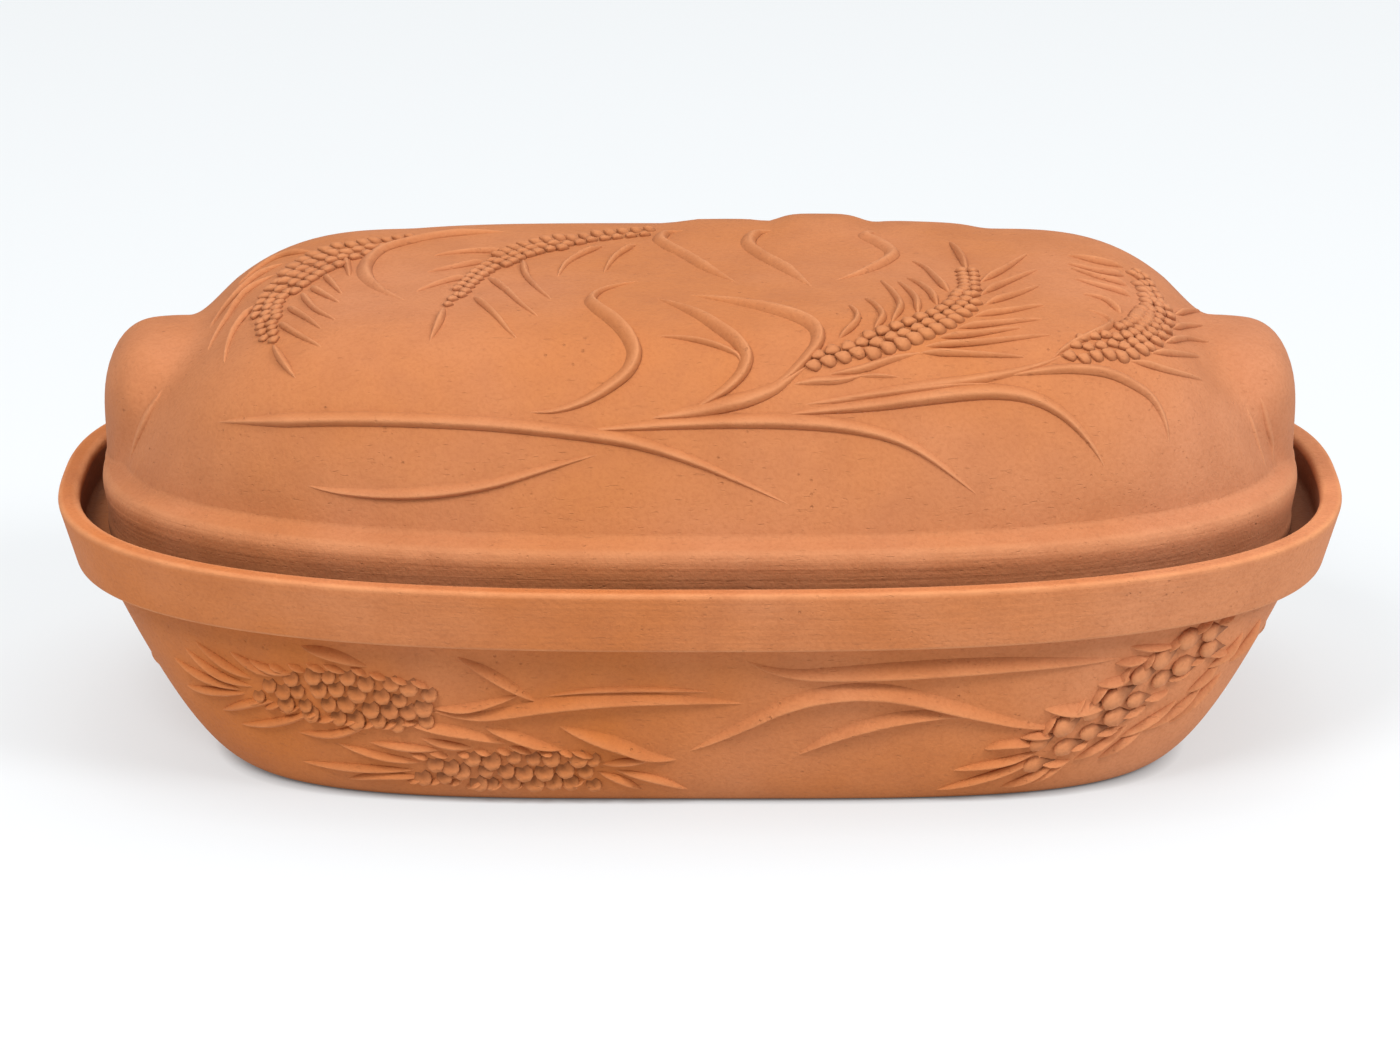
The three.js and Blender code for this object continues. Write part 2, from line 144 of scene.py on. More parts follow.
class Graph:
    """Adds and links the nodes of one shader or geometry tree."""

    NOISE_ROUGHNESS = 0.55

    def __init__(self, tree: bpy.types.NodeTree) -> None:
        """Keeps the tree that the nodes go into."""
        self.tree = tree

    def add(self, kind: str, inputs: dict | None = None, **settings: object) -> bpy.types.Node:
        """Adds a node.

        Args:
            kind: Blender's type name of the node.
            inputs: Socket name or index, with a constant or the output socket to link from.
            **settings: Properties of the node itself.

        Returns:
            The new node.
        """
        node = self.tree.nodes.new(kind)
        for name, value in settings.items():
            setattr(node, name, value)
        for key, value in (inputs or {}).items():
            if isinstance(value, Socket):
                self.tree.links.new(value, node.inputs[key])
            else:
                node.inputs[key].default_value = value
        return node

    def math(self, operation: str, first: object, second: object = 0.0) -> Socket:
        """Adds a Math node and returns its result."""
        return self.add("ShaderNodeMath", {0: first, 1: second}, operation=operation).outputs[0]

    def times(self, first: object, second: object) -> Socket:
        """Multiplies two values."""
        return self.math("MULTIPLY", first, second)

    def less(self, first: object, second: object) -> Socket:
        """Takes the second value from the first."""
        return self.math("SUBTRACT", first, second)

    def positive(self, value: object) -> Socket:
        """Holds a value at 0 or more."""
        return self.math("MAXIMUM", value, 0.0)

    def power(self, value: object, exponent: object) -> Socket:
        """Raises a value to a power."""
        return self.math("POWER", value, exponent)

    def scaled(self, vector: object, factor: object) -> Socket:
        """Scales a vector."""
        return self.add("ShaderNodeVectorMath", {0: vector, "Scale": factor}, operation="SCALE").outputs[0]

    def moved(self, vector: object, way: object) -> Socket:
        """Adds two vectors."""
        return self.add("ShaderNodeVectorMath", {0: vector, 1: way}, operation="ADD").outputs[0]

    def span(self, value: object, low: float, high: float, to_low: float, to_high: float) -> Socket:
        """Adds a clamped Map Range node and returns its result."""
        inputs = {0: value, 1: low, 2: high, 3: to_low, 4: to_high}
        return self.add("ShaderNodeMapRange", inputs, clamp=True).outputs[0]

    def axes(self, vector: Socket) -> bpy.types.bpy_prop_collection:
        """The three parts of a vector."""
        return self.add("ShaderNodeSeparateXYZ", {0: vector}).outputs

    def place(self) -> Socket:
        """Object coordinates in a material."""
        return self.add("ShaderNodeTexCoord").outputs["Object"]

    def mark(self, name: str) -> Socket:
        """A value that the mesh carries, in a material."""
        return self.add("ShaderNodeAttribute", attribute_name=name).outputs["Fac"]

    def noise(self, place: object, scale: float, detail: float) -> Socket:
        """Adds a noise texture and returns its value."""
        inputs = {"Vector": place, "Scale": scale, "Detail": detail, "Roughness": self.NOISE_ROUGHNESS}
        return self.add("ShaderNodeTexNoise", inputs).outputs[0]

    def mix(self, share: object, first: object, second: Triple) -> Socket:
        """Mixes a share of a second colour into a first one."""
        first = (*first, 1.0) if isinstance(first, tuple) else first
        return self.add("ShaderNodeMix", {0: share, 6: first, 7: (*second, 1.0)}, data_type="RGBA").outputs[2]

    def stored(self, name: str, kind: str = "FLOAT") -> Socket:
        """Reads a mesh attribute in a geometry tree."""
        return self.add("GeometryNodeInputNamedAttribute", {"Name": name}, data_type=kind).outputs[0]

    def store(self, geometry: Socket, name: str, value: Socket) -> Socket:
        """Stores a value on the points of a geometry."""
        inputs = {"Geometry": geometry, "Name": name, "Value": value}
        node = self.add("GeometryNodeStoreNamedAttribute", inputs, data_type="FLOAT", domain="POINT")
        return node.outputs[0]


@dataclass(frozen=True)
class Terracotta:
    """Unglazed fired clay: mottled, finely grained and pitted, paler where worn and where highlight is
    painted, with painted shade in creases and painted light on its right end.

    A noise is given by its scale and detail. A span gives the values of a pattern that count, lowest and
    highest, and then what they become. Depths of the bumps are metres.
    """

    name: str
    body: Triple
    # Paler rosy tone: random clouds of it, and painted light on the right end.
    rosy: Triple
    deep: Triple
    # Paler colour of edges, crests and raised tops: partly wear, partly painted highlight.
    wear_and_highlight: Triple
    # Colour of the painted shade in creases, gaps and under overhangs.
    painted_shade: Triple = (0.045, 0.011, 0.003)
    cloud_noise: tuple[float, float] = (11.0, 3.0)
    cloud_span: Span = (0.36, 0.66, 0.0, 0.7)
    # Painted light: the clay turns paler and rosier towards the right end.
    lit_end_span: Span = (0.08, 0.17, 0.0, 1.0)
    mottle_noise: tuple[float, float] = (75.0, 5.0)
    mottle_span: Span = (0.32, 0.58, 0.24, 0.0)
    mottle_depth: float = 0.0006
    grain_noise: tuple[float, float] = (900.0, 3.0)
    grain_span: Span = (0.36, 0.56, 0.2, 0.0)
    grain_depth: float = 0.0002
    pit_scale: float = 400.0
    pit_span: Span = (0.07, 0.19, 1.0, 0.0)
    pit_patch_noise: tuple[float, float] = (60.0, 2.0)
    pit_patch_span: Span = (0.58, 0.68, 0.0, 1.0)
    pit_darkness: float = 0.3
    pit_depth: float = 0.0003
    tool_stretch: Triple = (9.0, 9.0, 620.0)
    tool_noise: tuple[float, float] = (1.0, 4.0)
    tool_depth: float = 0.00028
    scratch_stretch: Triple = (280.0, 1300.0, 1300.0)
    scratch_turns: tuple[Triple, ...] = ((0.2, 0.35, 0.3), (0.5, -0.5, 1.1))
    scratch_noise: tuple[float, float] = (1.0, 1.0)
    scratch_span: Span = (0.7, 0.78, 0.0, 1.0)
    scratch_depth: float = 0.00012
    wear_and_highlight_span: Span = (0.3, 0.62, 0.25, 0.75)
    # How far the painted shade goes towards its colour.
    painted_shade_strength: float = 0.97
    rough_span: Span = (0.3, 0.7, 0.78, 0.92)
    sheen: float = 0.4

    def material(self) -> bpy.types.Material:
        """Builds the material's nodes.

        Returns:
            The finished material, procedural on Object coordinates and the mesh's own attributes.
        """
        material = bpy.data.materials.new(self.name)
        material.use_nodes = True
        material.node_tree.nodes.clear()
        graph = Graph(material.node_tree)
        place = graph.place()
        mottle = graph.noise(place, *self.mottle_noise)
        grain = graph.noise(place, *self.grain_noise)
        pits = self._pits(graph, place)
        layers = (
            (mottle, self.mottle_depth),
            (grain, self.grain_depth),
            (graph.less(1.0, pits), self.pit_depth),
            (self._tooling(graph, place), self.tool_depth),
            (self._scratches(graph, place), self.scratch_depth),
        )
        bump: dict[str, Socket] = {}
        for height, depth in layers:
            inputs = {"Height": height, "Distance": depth, "Strength": 1.0, **bump}
            bump = {"Normal": graph.add("ShaderNodeBump", inputs).outputs[0]}
        look = {
            "Base Color": self._colour(graph, place, mottle, grain, pits),
            "Roughness": graph.span(mottle, *self.rough_span),
            "Specular IOR Level": self.sheen,
        }
        shader = graph.add("ShaderNodeBsdfPrincipled", {**look, **bump})
        graph.add("ShaderNodeOutputMaterial", {"Surface": shader.outputs[0]})
        return material

    def _pits(self, graph: Graph, place: Socket) -> Socket:
        """Small pits of the pressed clay, in scattered patches.

        Args:
            graph: The material's graph.
            place: Object coordinates.

        Returns:
            A value of 1 in a pit and 0 around it.
        """
        cells = graph.add("ShaderNodeTexVoronoi", {"Vector": place, "Scale": self.pit_scale})
        dots = graph.span(cells.outputs["Distance"], *self.pit_span)
        return graph.times(dots, graph.span(graph.noise(place, *self.pit_patch_noise), *self.pit_patch_span))

    def _tooling(self, graph: Graph, place: Socket) -> Socket:
        """The height of the fine level lines that the turning tool left where the mesh says so."""
        stretched = graph.add("ShaderNodeMapping", {"Vector": place, "Scale": self.tool_stretch}).outputs[0]
        return graph.times(graph.noise(stretched, *self.tool_noise), graph.mark("tooled"))

    def _scratches(self, graph: Graph, place: Socket) -> Socket:
        """Short hairline scratches that lie two ways.

        Args:
            graph: The material's graph.
            place: Object coordinates.

        Returns:
            A value of 0 on a scratch and 1 around it.
        """
        marks = 0.0
        for turn in self.scratch_turns:
            inputs = {"Vector": place, "Rotation": turn, "Scale": self.scratch_stretch}
            stretched = graph.add("ShaderNodeMapping", inputs).outputs[0]
            hairs = graph.span(graph.noise(stretched, *self.scratch_noise), *self.scratch_span)
            marks = graph.math("MAXIMUM", marks, hairs)
        return graph.less(1.0, marks)

    def _colour(self, graph: Graph, place: Socket, mottle: Socket, grain: Socket, pits: Socket) -> Socket:
        """Mixes the clay's colour, with its painted light, painted highlight and painted shade.

        Args:
            graph: The material's graph.
            place: Object coordinates.
            mottle: Middle noise.
            grain: Fine noise.
            pits: Mask of the pits.

        Returns:
            The colour of the clay.
        """
        clouds = graph.span(graph.noise(place, *self.cloud_noise), *self.cloud_span)
        # Random rosy clouds, plus painted light that makes the right end paler and rosier.
        clouds_and_lit_end = graph.math("ADD", clouds, graph.span(graph.axes(place)[0], *self.lit_end_span))
        colour = graph.mix(graph.math("MINIMUM", clouds_and_lit_end, 1.0), self.body, self.rosy)
        colour = graph.mix(graph.span(mottle, *self.mottle_span), colour, self.deep)
        colour = graph.mix(graph.span(grain, *self.grain_span), colour, self.deep)
        # Paler on edges, crests and raised tops: partly wear, partly painted highlight.
        wear_and_highlight_mask = graph.times(graph.mark("wear_and_highlight"), graph.span(mottle, *self.wear_and_highlight_span))
        colour = graph.mix(wear_and_highlight_mask, colour, self.wear_and_highlight)
        colour = graph.mix(graph.times(pits, self.pit_darkness), colour, self.deep)
        # Painted shade where the mesh's shade mark says so: creases, gaps and overhung ends.
        return graph.mix(graph.times(graph.mark("shade"), self.painted_shade_strength), colour, self.painted_shade)


@dataclass(frozen=True)
class PaleFloor:
    """Plain white studio floor that glows a little; its glow is cut close to the base and under it, a painted
    shadow round the base's foot.

    The foot is the half length, half width and power of the base's underside. A span is a pair of multiples
    of its outline.
    """

    name: str = "studio_floor"
    tone: Triple = (0.312, 0.335, 0.35)
    glow: float = 0.53
    # Glow left in the painted shadow close to the base.
    glow_in_painted_shadow: float = 0.47
    foot: Triple = (0.128, 0.074, 3.9)
    painted_contact_shadow_span: tuple[float, float] = (1.0, 1.07)
    painted_near_shadow_span: tuple[float, float] = (1.05, 1.4)
    half_size: float = 6.0

    def build(self) -> None:
        """Makes the floor's sheet with its material."""
        mesh = bpy.data.meshes.new(self.name)
        half = self.half_size
        corners = [(-half, -half, 0.0), (half, -half, 0.0), (half, half, 0.0), (-half, half, 0.0)]
        mesh.from_pydata(corners, [], [(0, 1, 2, 3)])
        material = bpy.data.materials.new(self.name)
        material.use_nodes = True
        inputs = material.node_tree.nodes["Principled BSDF"].inputs
        inputs["Base Color"].default_value = (*self.tone, 1.0)
        inputs["Roughness"].default_value = 1.0
        inputs["Specular IOR Level"].default_value = 0.0
        inputs["Emission Color"].default_value = (1.0, 1.0, 1.0, 1.0)
        material.node_tree.links.new(self._light(Graph(material.node_tree)), inputs["Emission Strength"])
        mesh.materials.append(material)
        floor = placed(self.name, mesh)

    def _light(self, graph: Graph) -> Socket:
        """How bright the floor glows by itself: a painted shadow, dark where the base stands, full further
        out.

        Args:
            graph: The floor material's graph.

        Returns:
            The strength of its glow.
        """
        *halves, power = self.foot
        parts = [
            graph.power(graph.math("ABSOLUTE", graph.math("DIVIDE", axis, half)), power)
            for axis, half in zip(graph.axes(graph.place()), halves)
        ]
        far = graph.power(graph.math("ADD", *parts), 1 / power)
        # Painted shadow: a soft dimming round the base and a dark line where it stands.
        broad = graph.span(far, *self.painted_near_shadow_span, self.glow_in_painted_shadow, self.glow)
        return graph.times(broad, graph.span(far, *self.painted_contact_shadow_span, 0.0, 1.0))


@dataclass(frozen=True)
class SoftLamp:
    """A large square lamp of the studio."""

    name: str
    place: Triple
    aim: Triple
    size: float
    watts: float

    def build(self) -> None:
        """Hangs the lamp and turns it to its aim."""
        data = bpy.data.lights.new(self.name, "AREA")
        data.shape = "SQUARE"
        data.size = self.size
        data.energy = self.watts
        aimed(placed(self.name, data), Vector(self.place), Vector(self.aim))


@dataclass(frozen=True)
class Viewpoint:
    """Where the baker is seen from, and the board in front of that eye that the relief is drawn on."""

    middle: Triple = (0.0, 0.0, 0.070)
    distance: float = 1.5
    elevation: float = math.radians(18.0)
    lens: float = 136.7
    sensor: float = 36.0
    drop: float = 0.01543
    clip: tuple[float, float] = (0.05, 50.0)

    def eye(self) -> Vector:
        """The eye's place."""
        back = Vector((0.0, -math.cos(self.elevation), math.sin(self.elevation)))
        return Vector(self.middle) + back * self.distance

    def upward(self) -> Vector:
        """The board's upward direction."""
        return Vector((0.0, math.sin(self.elevation), math.cos(self.elevation)))

    def on_board(self, across: float, up: float) -> Vector:
        """The place of a drawn point, from millimetres across and up on the board."""
        return Vector(self.middle) + Vector((across * MM, 0.0, 0.0)) + self.upward() * (up * MM)

    def build_camera(self) -> None:
        """Sets up the scene's camera, aimed a little below the board's middle."""
        data = bpy.data.cameras.new("front_camera")
        data.sensor_fit = "HORIZONTAL"
        data.sensor_width = self.sensor
        data.lens = self.lens
        data.clip_start, data.clip_end = self.clip
        camera = placed("front_camera", data)
        aimed(camera, self.eye(), Vector(self.middle) - self.upward() * self.drop)
        bpy.context.scene.camera = camera


@dataclass(frozen=True)
class Ring:
    """A level superellipse round the upright axis."""

    half_length: float
    half_width: float
    power: float
    z: float

    def points(self, angles: np.ndarray) -> np.ndarray:
        """The ring's points at some angles, one row each."""
        c, s = np.cos(angles), np.sin(angles)
        x = self.half_length * np.sign(c) * np.abs(c) ** (2 / self.power)
        y = self.half_width * np.sign(s) * np.abs(s) ** (2 / self.power)
        return np.stack([x, y, np.full_like(x, self.z)], axis=1)

    def mixed(self, other: "Ring", share: float, z: float) -> "Ring":
        """The ring a share of the way to another one, at its own height."""
        keys = ("half_length", "half_width", "power")
        return Ring(*[getattr(self, k) + (getattr(other, k) - getattr(self, k)) * share for k in keys], z)


@dataclass(frozen=True)
class RingPoint:
    """A ring of a shell with the wear and painted highlight, tool marks and painted shade that it carries."""

    ring: Ring
    wear_and_highlight: float = 0.0
    tooled: float = 0.0
    shade: float = 0.0


@dataclass(frozen=True)
class Corner:
    """A corner of a shell's section: inset from the rim's plan, height, rounding and the marks it carries:
    wear with painted highlight, tool marks and painted shade.
    """

    inset: float
    z: float
    round_off: float = 0.0
    wear_and_highlight: float = 0.0
    tooled: float = 0.0
    shade: float = 0.0


@dataclass(frozen=True)
class RimPlan:
    """The plan of the base's rim, which the collar, the skirt and the dome follow."""

    FINE_STEPS: ClassVar[int] = 40001
    MOST_ROUND: ClassVar[float] = 0.48

    length: float = 0.360
    width: float = 0.213
    power: float = 2.7
    steps_round: int = 520
    end_density: float = 2.0
    end_sharpness: float = 12.0
    section_step: float = 0.0024
    round_steps: int = 5

    def ring(self, inset: float, z: float) -> Ring:
        """The rim's plan drawn in by an inset, at a height."""
        return Ring(self.length / 2 - inset, self.width / 2 - inset, self.power, z)

    def angles(self) -> np.ndarray:
        """Angles that spread points along the rim, closer together at its ends.

        Returns:
            The angles, without the repeated last one.
        """
        fine = np.linspace(0.0, 2 * math.pi, self.FINE_STEPS)
        points = self.ring(0.0, 0.0).points(fine)
        weight = 1 + self.end_density * np.abs(points[1:, 0] / (self.length / 2)) ** self.end_sharpness
        lengths = summed(weight * np.linalg.norm(np.diff(points, axis=0), axis=1))
        return np.interp(np.arange(self.steps_round) / self.steps_round * lengths[-1], lengths, fine)

    def section(self, corners: list[Corner]) -> list[RingPoint]:
        """Rounds the corners of a section and fills its straight runs with rings.

        Args:
            corners: The section's corners in order; the first and last stay sharp.

        Returns:
            The rings along the section.
        """
        spots: list[tuple[float, ...]] = []
        for i, here in enumerate(corners):
            if here.round_off == 0.0 or i in (0, len(corners) - 1):
                spots.append((here.inset, here.z, here.wear_and_highlight, here.tooled, here.shade))
            else:
                spots.extend(self._rounded(corners[i - 1], here, corners[i + 1]))
        rings: list[RingPoint] = []
        for first, second in zip(spots, [*spots[1:], spots[-1]]):
            gap = math.hypot(second[0] - first[0], second[1] - first[1])
            count = max(1, math.ceil(gap / self.section_step))
            for k in range(count):
                inset, z, *marks = (a + (b - a) * k / count for a, b in zip(first, second))
                rings.append(RingPoint(self.ring(inset, z), *marks))
        return rings

    def _rounded(self, before: Corner, here: Corner, after: Corner) -> list[tuple[float, ...]]:
        """Rounds one corner by a short arc, with its wear and painted highlight greatest in the middle.

        Args:
            before: The corner before it.
            here: The corner itself.
            after: The corner after it.

        Returns:
            Inset, height and marks of points along the arc.
        """
        middle = np.array([here.inset, here.z])
        ways = [np.array([other.inset, other.z]) - middle for other in (before, after)]
        start, end = (middle + w * min(self.MOST_ROUND, here.round_off / np.linalg.norm(w)) for w in ways)
        arc = []
        for k in range(self.round_steps + 1):
            t = k / self.round_steps
            spot = (1 - t) ** 2 * start + 2 * t * (1 - t) * middle + t * t * end
            arc.append((spot[0], spot[1], here.wear_and_highlight * math.sin(math.pi * t), here.tooled, here.shade))
        return arc


def lofted(
    name: str, rows: np.ndarray, poles: tuple[Vector, Vector], rings: list[RingPoint]
) -> bpy.types.Object:
    """Joins rings of points to one closed skin of clay.

    Args:
        name: Name of the piece.
        rows: Points as rings, by points round, by three.
        poles: The points that close the first and the last ring.
        rings: The rings' wear and painted highlight, tool marks and painted shade, which become mesh
            attributes.

    Returns:
        The piece, smooth shaded, in the scene.
    """
    count, around = rows.shape[:2]
    points = np.concatenate([[poles[0]], rows.reshape(-1, 3), [poles[1]]])
    index = 1 + np.arange(count * around).reshape(count, around)
    nexts = np.roll(index, -1, axis=1)
    quads = np.stack([index[:-1], nexts[:-1], nexts[1:], index[1:]], axis=-1).reshape(-1, 4)
    last = len(points) - 1
    faces = [tuple(q) for q in quads.tolist()]
    faces += [(0, b, a) for a, b in zip(index[0].tolist(), nexts[0].tolist())]
    faces += [(last, a, b) for a, b in zip(index[-1].tolist(), nexts[-1].tolist())]
    mesh = bpy.data.meshes.new(name)
    mesh.from_pydata(points.tolist(), [], faces)
    mesh.shade_smooth()
    for key in ("wear_and_highlight", "tooled", "shade"):
        values = np.array([getattr(r, key) for r in rings])
        whole = np.concatenate([[values[0]], np.repeat(values, around), [values[-1]]]).astype(np.float32)
        mesh.attributes.new(key, "FLOAT", "POINT").data.foreach_set("value", whole)
    return placed(name, mesh)


@dataclass(frozen=True)
class Ridge:
    """A moulded leaf, stalk or awn, drawn on the board in millimetres.

    The lean moves the crest towards the right-hand (negative) or left-hand (positive) edge of its run.
    """

    line: Line
    width: float
    height: float = 1.6
    lean: float = 0.0
    taper: Taper = Taper.LEAF
    softness: float = 1.15


@dataclass(frozen=True)
class Ear:
    """A wheat ear: staggered grains along a line of the board, with awns at its tip and sides.

    Width and gap across the ear are millimetres on the board, as seen. Pitch along the ear, the grains'
    half sizes and the husks' length are millimetres on the clay. Fan, slant and tilt are degrees. The first
    awn is the lead at the tip.
    """

    line: Line
    width: float
    pitch: float
    across: float
    height: float
    awns: tuple[Line, ...]
    grain: tuple[float, float] = (2.45, 2.4)
    slim_root: float = 0.6
    slim_tip: float = 0.5
    root_share: float = 0.35
    tip_share: float = 0.5
    awn_width: float = 2.9
    lead_width: float = 2.9
    lead_softness: float = 0.8
    awn_taper: Taper = Taper.AWN
    awn_share: float = 0.95
    awn_softness: float = 0.7
    fan: float = 56.0
    slant: float = 0.0
    tilt: float = 0.0
    husk: float = 0.0
    unevenness: float = 0.04
    facing: float = 1.0
    scales: bool = False

    def fullness(self, run: float) -> float:
        """The part of its full width that the ear has at a share of its length."""
        root = self.slim_root + (1 - self.slim_root) * min(1.0, run / self.root_share)
        return min(root, self.slim_tip + (1 - self.slim_tip) * min(1.0, (1 - run) / self.tip_share))


@dataclass(frozen=True)
class LaidLine:
    """A drawn line laid on the clay, with its directions at each point."""

    points: np.ndarray
    ups: np.ndarray
    sides: np.ndarray
    alongs: np.ndarray
    shares: np.ndarray


class ReliefTree:
    """A Geometry Nodes tree that makes relief of clay from a mesh of lines or points."""

    NAME: ClassVar[str]
    INPUTS: ClassVar[dict[str, str]]

    def __init__(self) -> None:
        """Builds the tree once for every clay piece."""
        self.tree = bpy.data.node_groups.new(self.NAME, "GeometryNodeTree")
        face = self.tree.interface
        self.identifiers = {
            name: face.new_socket(name, in_out="INPUT", socket_type=f"NodeSocket{kind}").identifier
            for name, kind in {"Geometry": "Geometry", **self.INPUTS, "Clay": "Material"}.items()
        }
        face.new_socket("Geometry", in_out="OUTPUT", socket_type="NodeSocketGeometry")
        graph = Graph(self.tree)
        given = graph.add("NodeGroupInput").outputs
        real = graph.add("GeometryNodeRealizeInstances", {"Geometry": self.shaped(graph, given)})
        done = graph.add("GeometryNodeSetMaterial", {"Geometry": real.outputs[0], "Material": given["Clay"]})
        graph.add("NodeGroupOutput", {"Geometry": done.outputs[0]})

    def shaped(self, graph: Graph, given: bpy.types.bpy_prop_collection) -> Socket:
        """Adds the nodes that shape the relief; each kind of tree has its own."""
        raise NotImplementedError

    def raised(
        self, name: str, places: np.ndarray, edges: list, fields: dict[str, np.ndarray], settings: dict
    ) -> bpy.types.Object:
        """Runs the tree on lines or points and keeps the result as a plain mesh.

        Args:
            name: Name of the piece.
            places: Points that the tree starts from.
            edges: Edges between them.
            fields: Names of the points' attributes, with a value or vector for each point.
            settings: Names of the tree's inputs, with their values.

        Returns:
            The finished piece, without a modifier.
        """
        wire = bpy.data.meshes.new(name)
        wire.from_pydata(places.tolist(), edges, [])
        for key, values in fields.items():
            kind, slot = ("FLOAT_VECTOR", "vector") if values.ndim == 2 else ("FLOAT", "value")
            wire.attributes.new(key, kind, "POINT").data.foreach_set(slot, values.astype(np.float32).ravel())
        piece = placed(name, wire)
        modifier = piece.modifiers.new("relief", "NODES")
        modifier.node_group = self.tree
        for key, value in settings.items():
            modifier[self.identifiers[key]] = value
        bpy.context.view_layer.update()
        mesh = bpy.data.meshes.new_from_object(piece.evaluated_get(bpy.context.evaluated_depsgraph_get()))
        piece.modifiers.remove(modifier)
        piece.data = mesh
        bpy.data.meshes.remove(wire)
        mesh.name = name
        for spare in (*fields, "across"):
            if spare in mesh.attributes:
                mesh.attributes.remove(mesh.attributes[spare])
        return piece


class RidgeTree(ReliefTree):
    """Geometry Nodes that raise a rounded ridge along each line of a wire mesh."""

    NAME = "moulded_ridge"
    INPUTS = {"Sink": "Float", "Across Steps": "Int", "Crispness": "Float"}
    WEAR_AND_HIGHLIGHT = 0.6
    WEAR_AND_HIGHLIGHT_POWER = 3.0
    # The painted shade at a ridge's feet fades out towards its crest.
    CREASE_SPAN = (0.05, 0.5, 0.15, 0.0)

    def shaped(self, graph: Graph, given: bpy.types.bpy_prop_collection) -> Socket:
        """Adds the profile, its sweep along the lines, and the ridge's shape and marks: a paler crest, partly
        wear and partly painted highlight, and painted shade at its feet.

        Args:
            graph: The tree's graph.
            given: The tree's inputs.

        Returns:
            The ridges.
        """
        ends = {"Start": (-1.0, 0.0, 0.0), "End": (1.0, 0.0, 0.0)}
        line = graph.add("GeometryNodeCurvePrimitiveLine", ends).outputs[0]
        steps = {"Curve": line, "Count": given["Across Steps"]}
        cut = graph.add("GeometryNodeResampleCurve", steps).outputs[0]
        share = graph.add("GeometryNodeSplineParameter").outputs["Factor"]
        marked = graph.store(cut, "across", graph.less(graph.times(share, 2.0), 1.0))
        profile = graph.add("GeometryNodeSetSplineCyclic", {"Geometry": marked, "Cyclic": True}).outputs[0]
        wire = graph.add("GeometryNodeMeshToCurve", {"Mesh": given["Geometry"]}).outputs[0]
        sweep = {"Curve": wire, "Profile Curve": profile, "Scale": MM, "Fill Caps": True}
        swept = graph.add("GeometryNodeCurveToMesh", sweep).outputs[0]
        across, lean, softness = (graph.stored(name) for name in ("across", "lean", "softness"))
        off = graph.less(across, lean)
        reach = graph.less(1.0, graph.times(graph.math("SIGN", off), lean))
        from_crest = graph.math("DIVIDE", off, reach)
        left = graph.positive(graph.less(1.0, graph.times(from_crest, from_crest)))
        round_crest = graph.power(left, softness)
        near = graph.positive(graph.less(1.0, graph.math("ABSOLUTE", from_crest)))
        sharper = graph.times(graph.less(graph.power(near, softness), round_crest), given["Crispness"])
        bell = graph.math("ADD", round_crest, sharper)
        lift = graph.less(graph.times(bell, graph.stored("rise")), given["Sink"])
        spine, side, up = (graph.stored(name, "FLOAT_VECTOR") for name in ("spine", "side", "up"))
        aside = graph.scaled(side, graph.times(across, graph.stored("half_width")))
        spot = graph.moved(graph.moved(spine, aside), graph.scaled(up, lift))
        ridge = graph.add("GeometryNodeSetPosition", {"Geometry": swept, "Position": spot}).outputs[0]
        # Paler crest: partly wear, partly painted highlight.
        wear_and_highlight = graph.store(ridge, "wear_and_highlight", graph.times(graph.power(bell, self.WEAR_AND_HIGHLIGHT_POWER), self.WEAR_AND_HIGHLIGHT))
        # Painted shade along the ridge's feet.
        creased = graph.store(wear_and_highlight, "shade", graph.span(bell, *self.CREASE_SPAN))
        return graph.add("GeometryNodeSetShadeSmooth", {"Geometry": creased}).outputs[0]


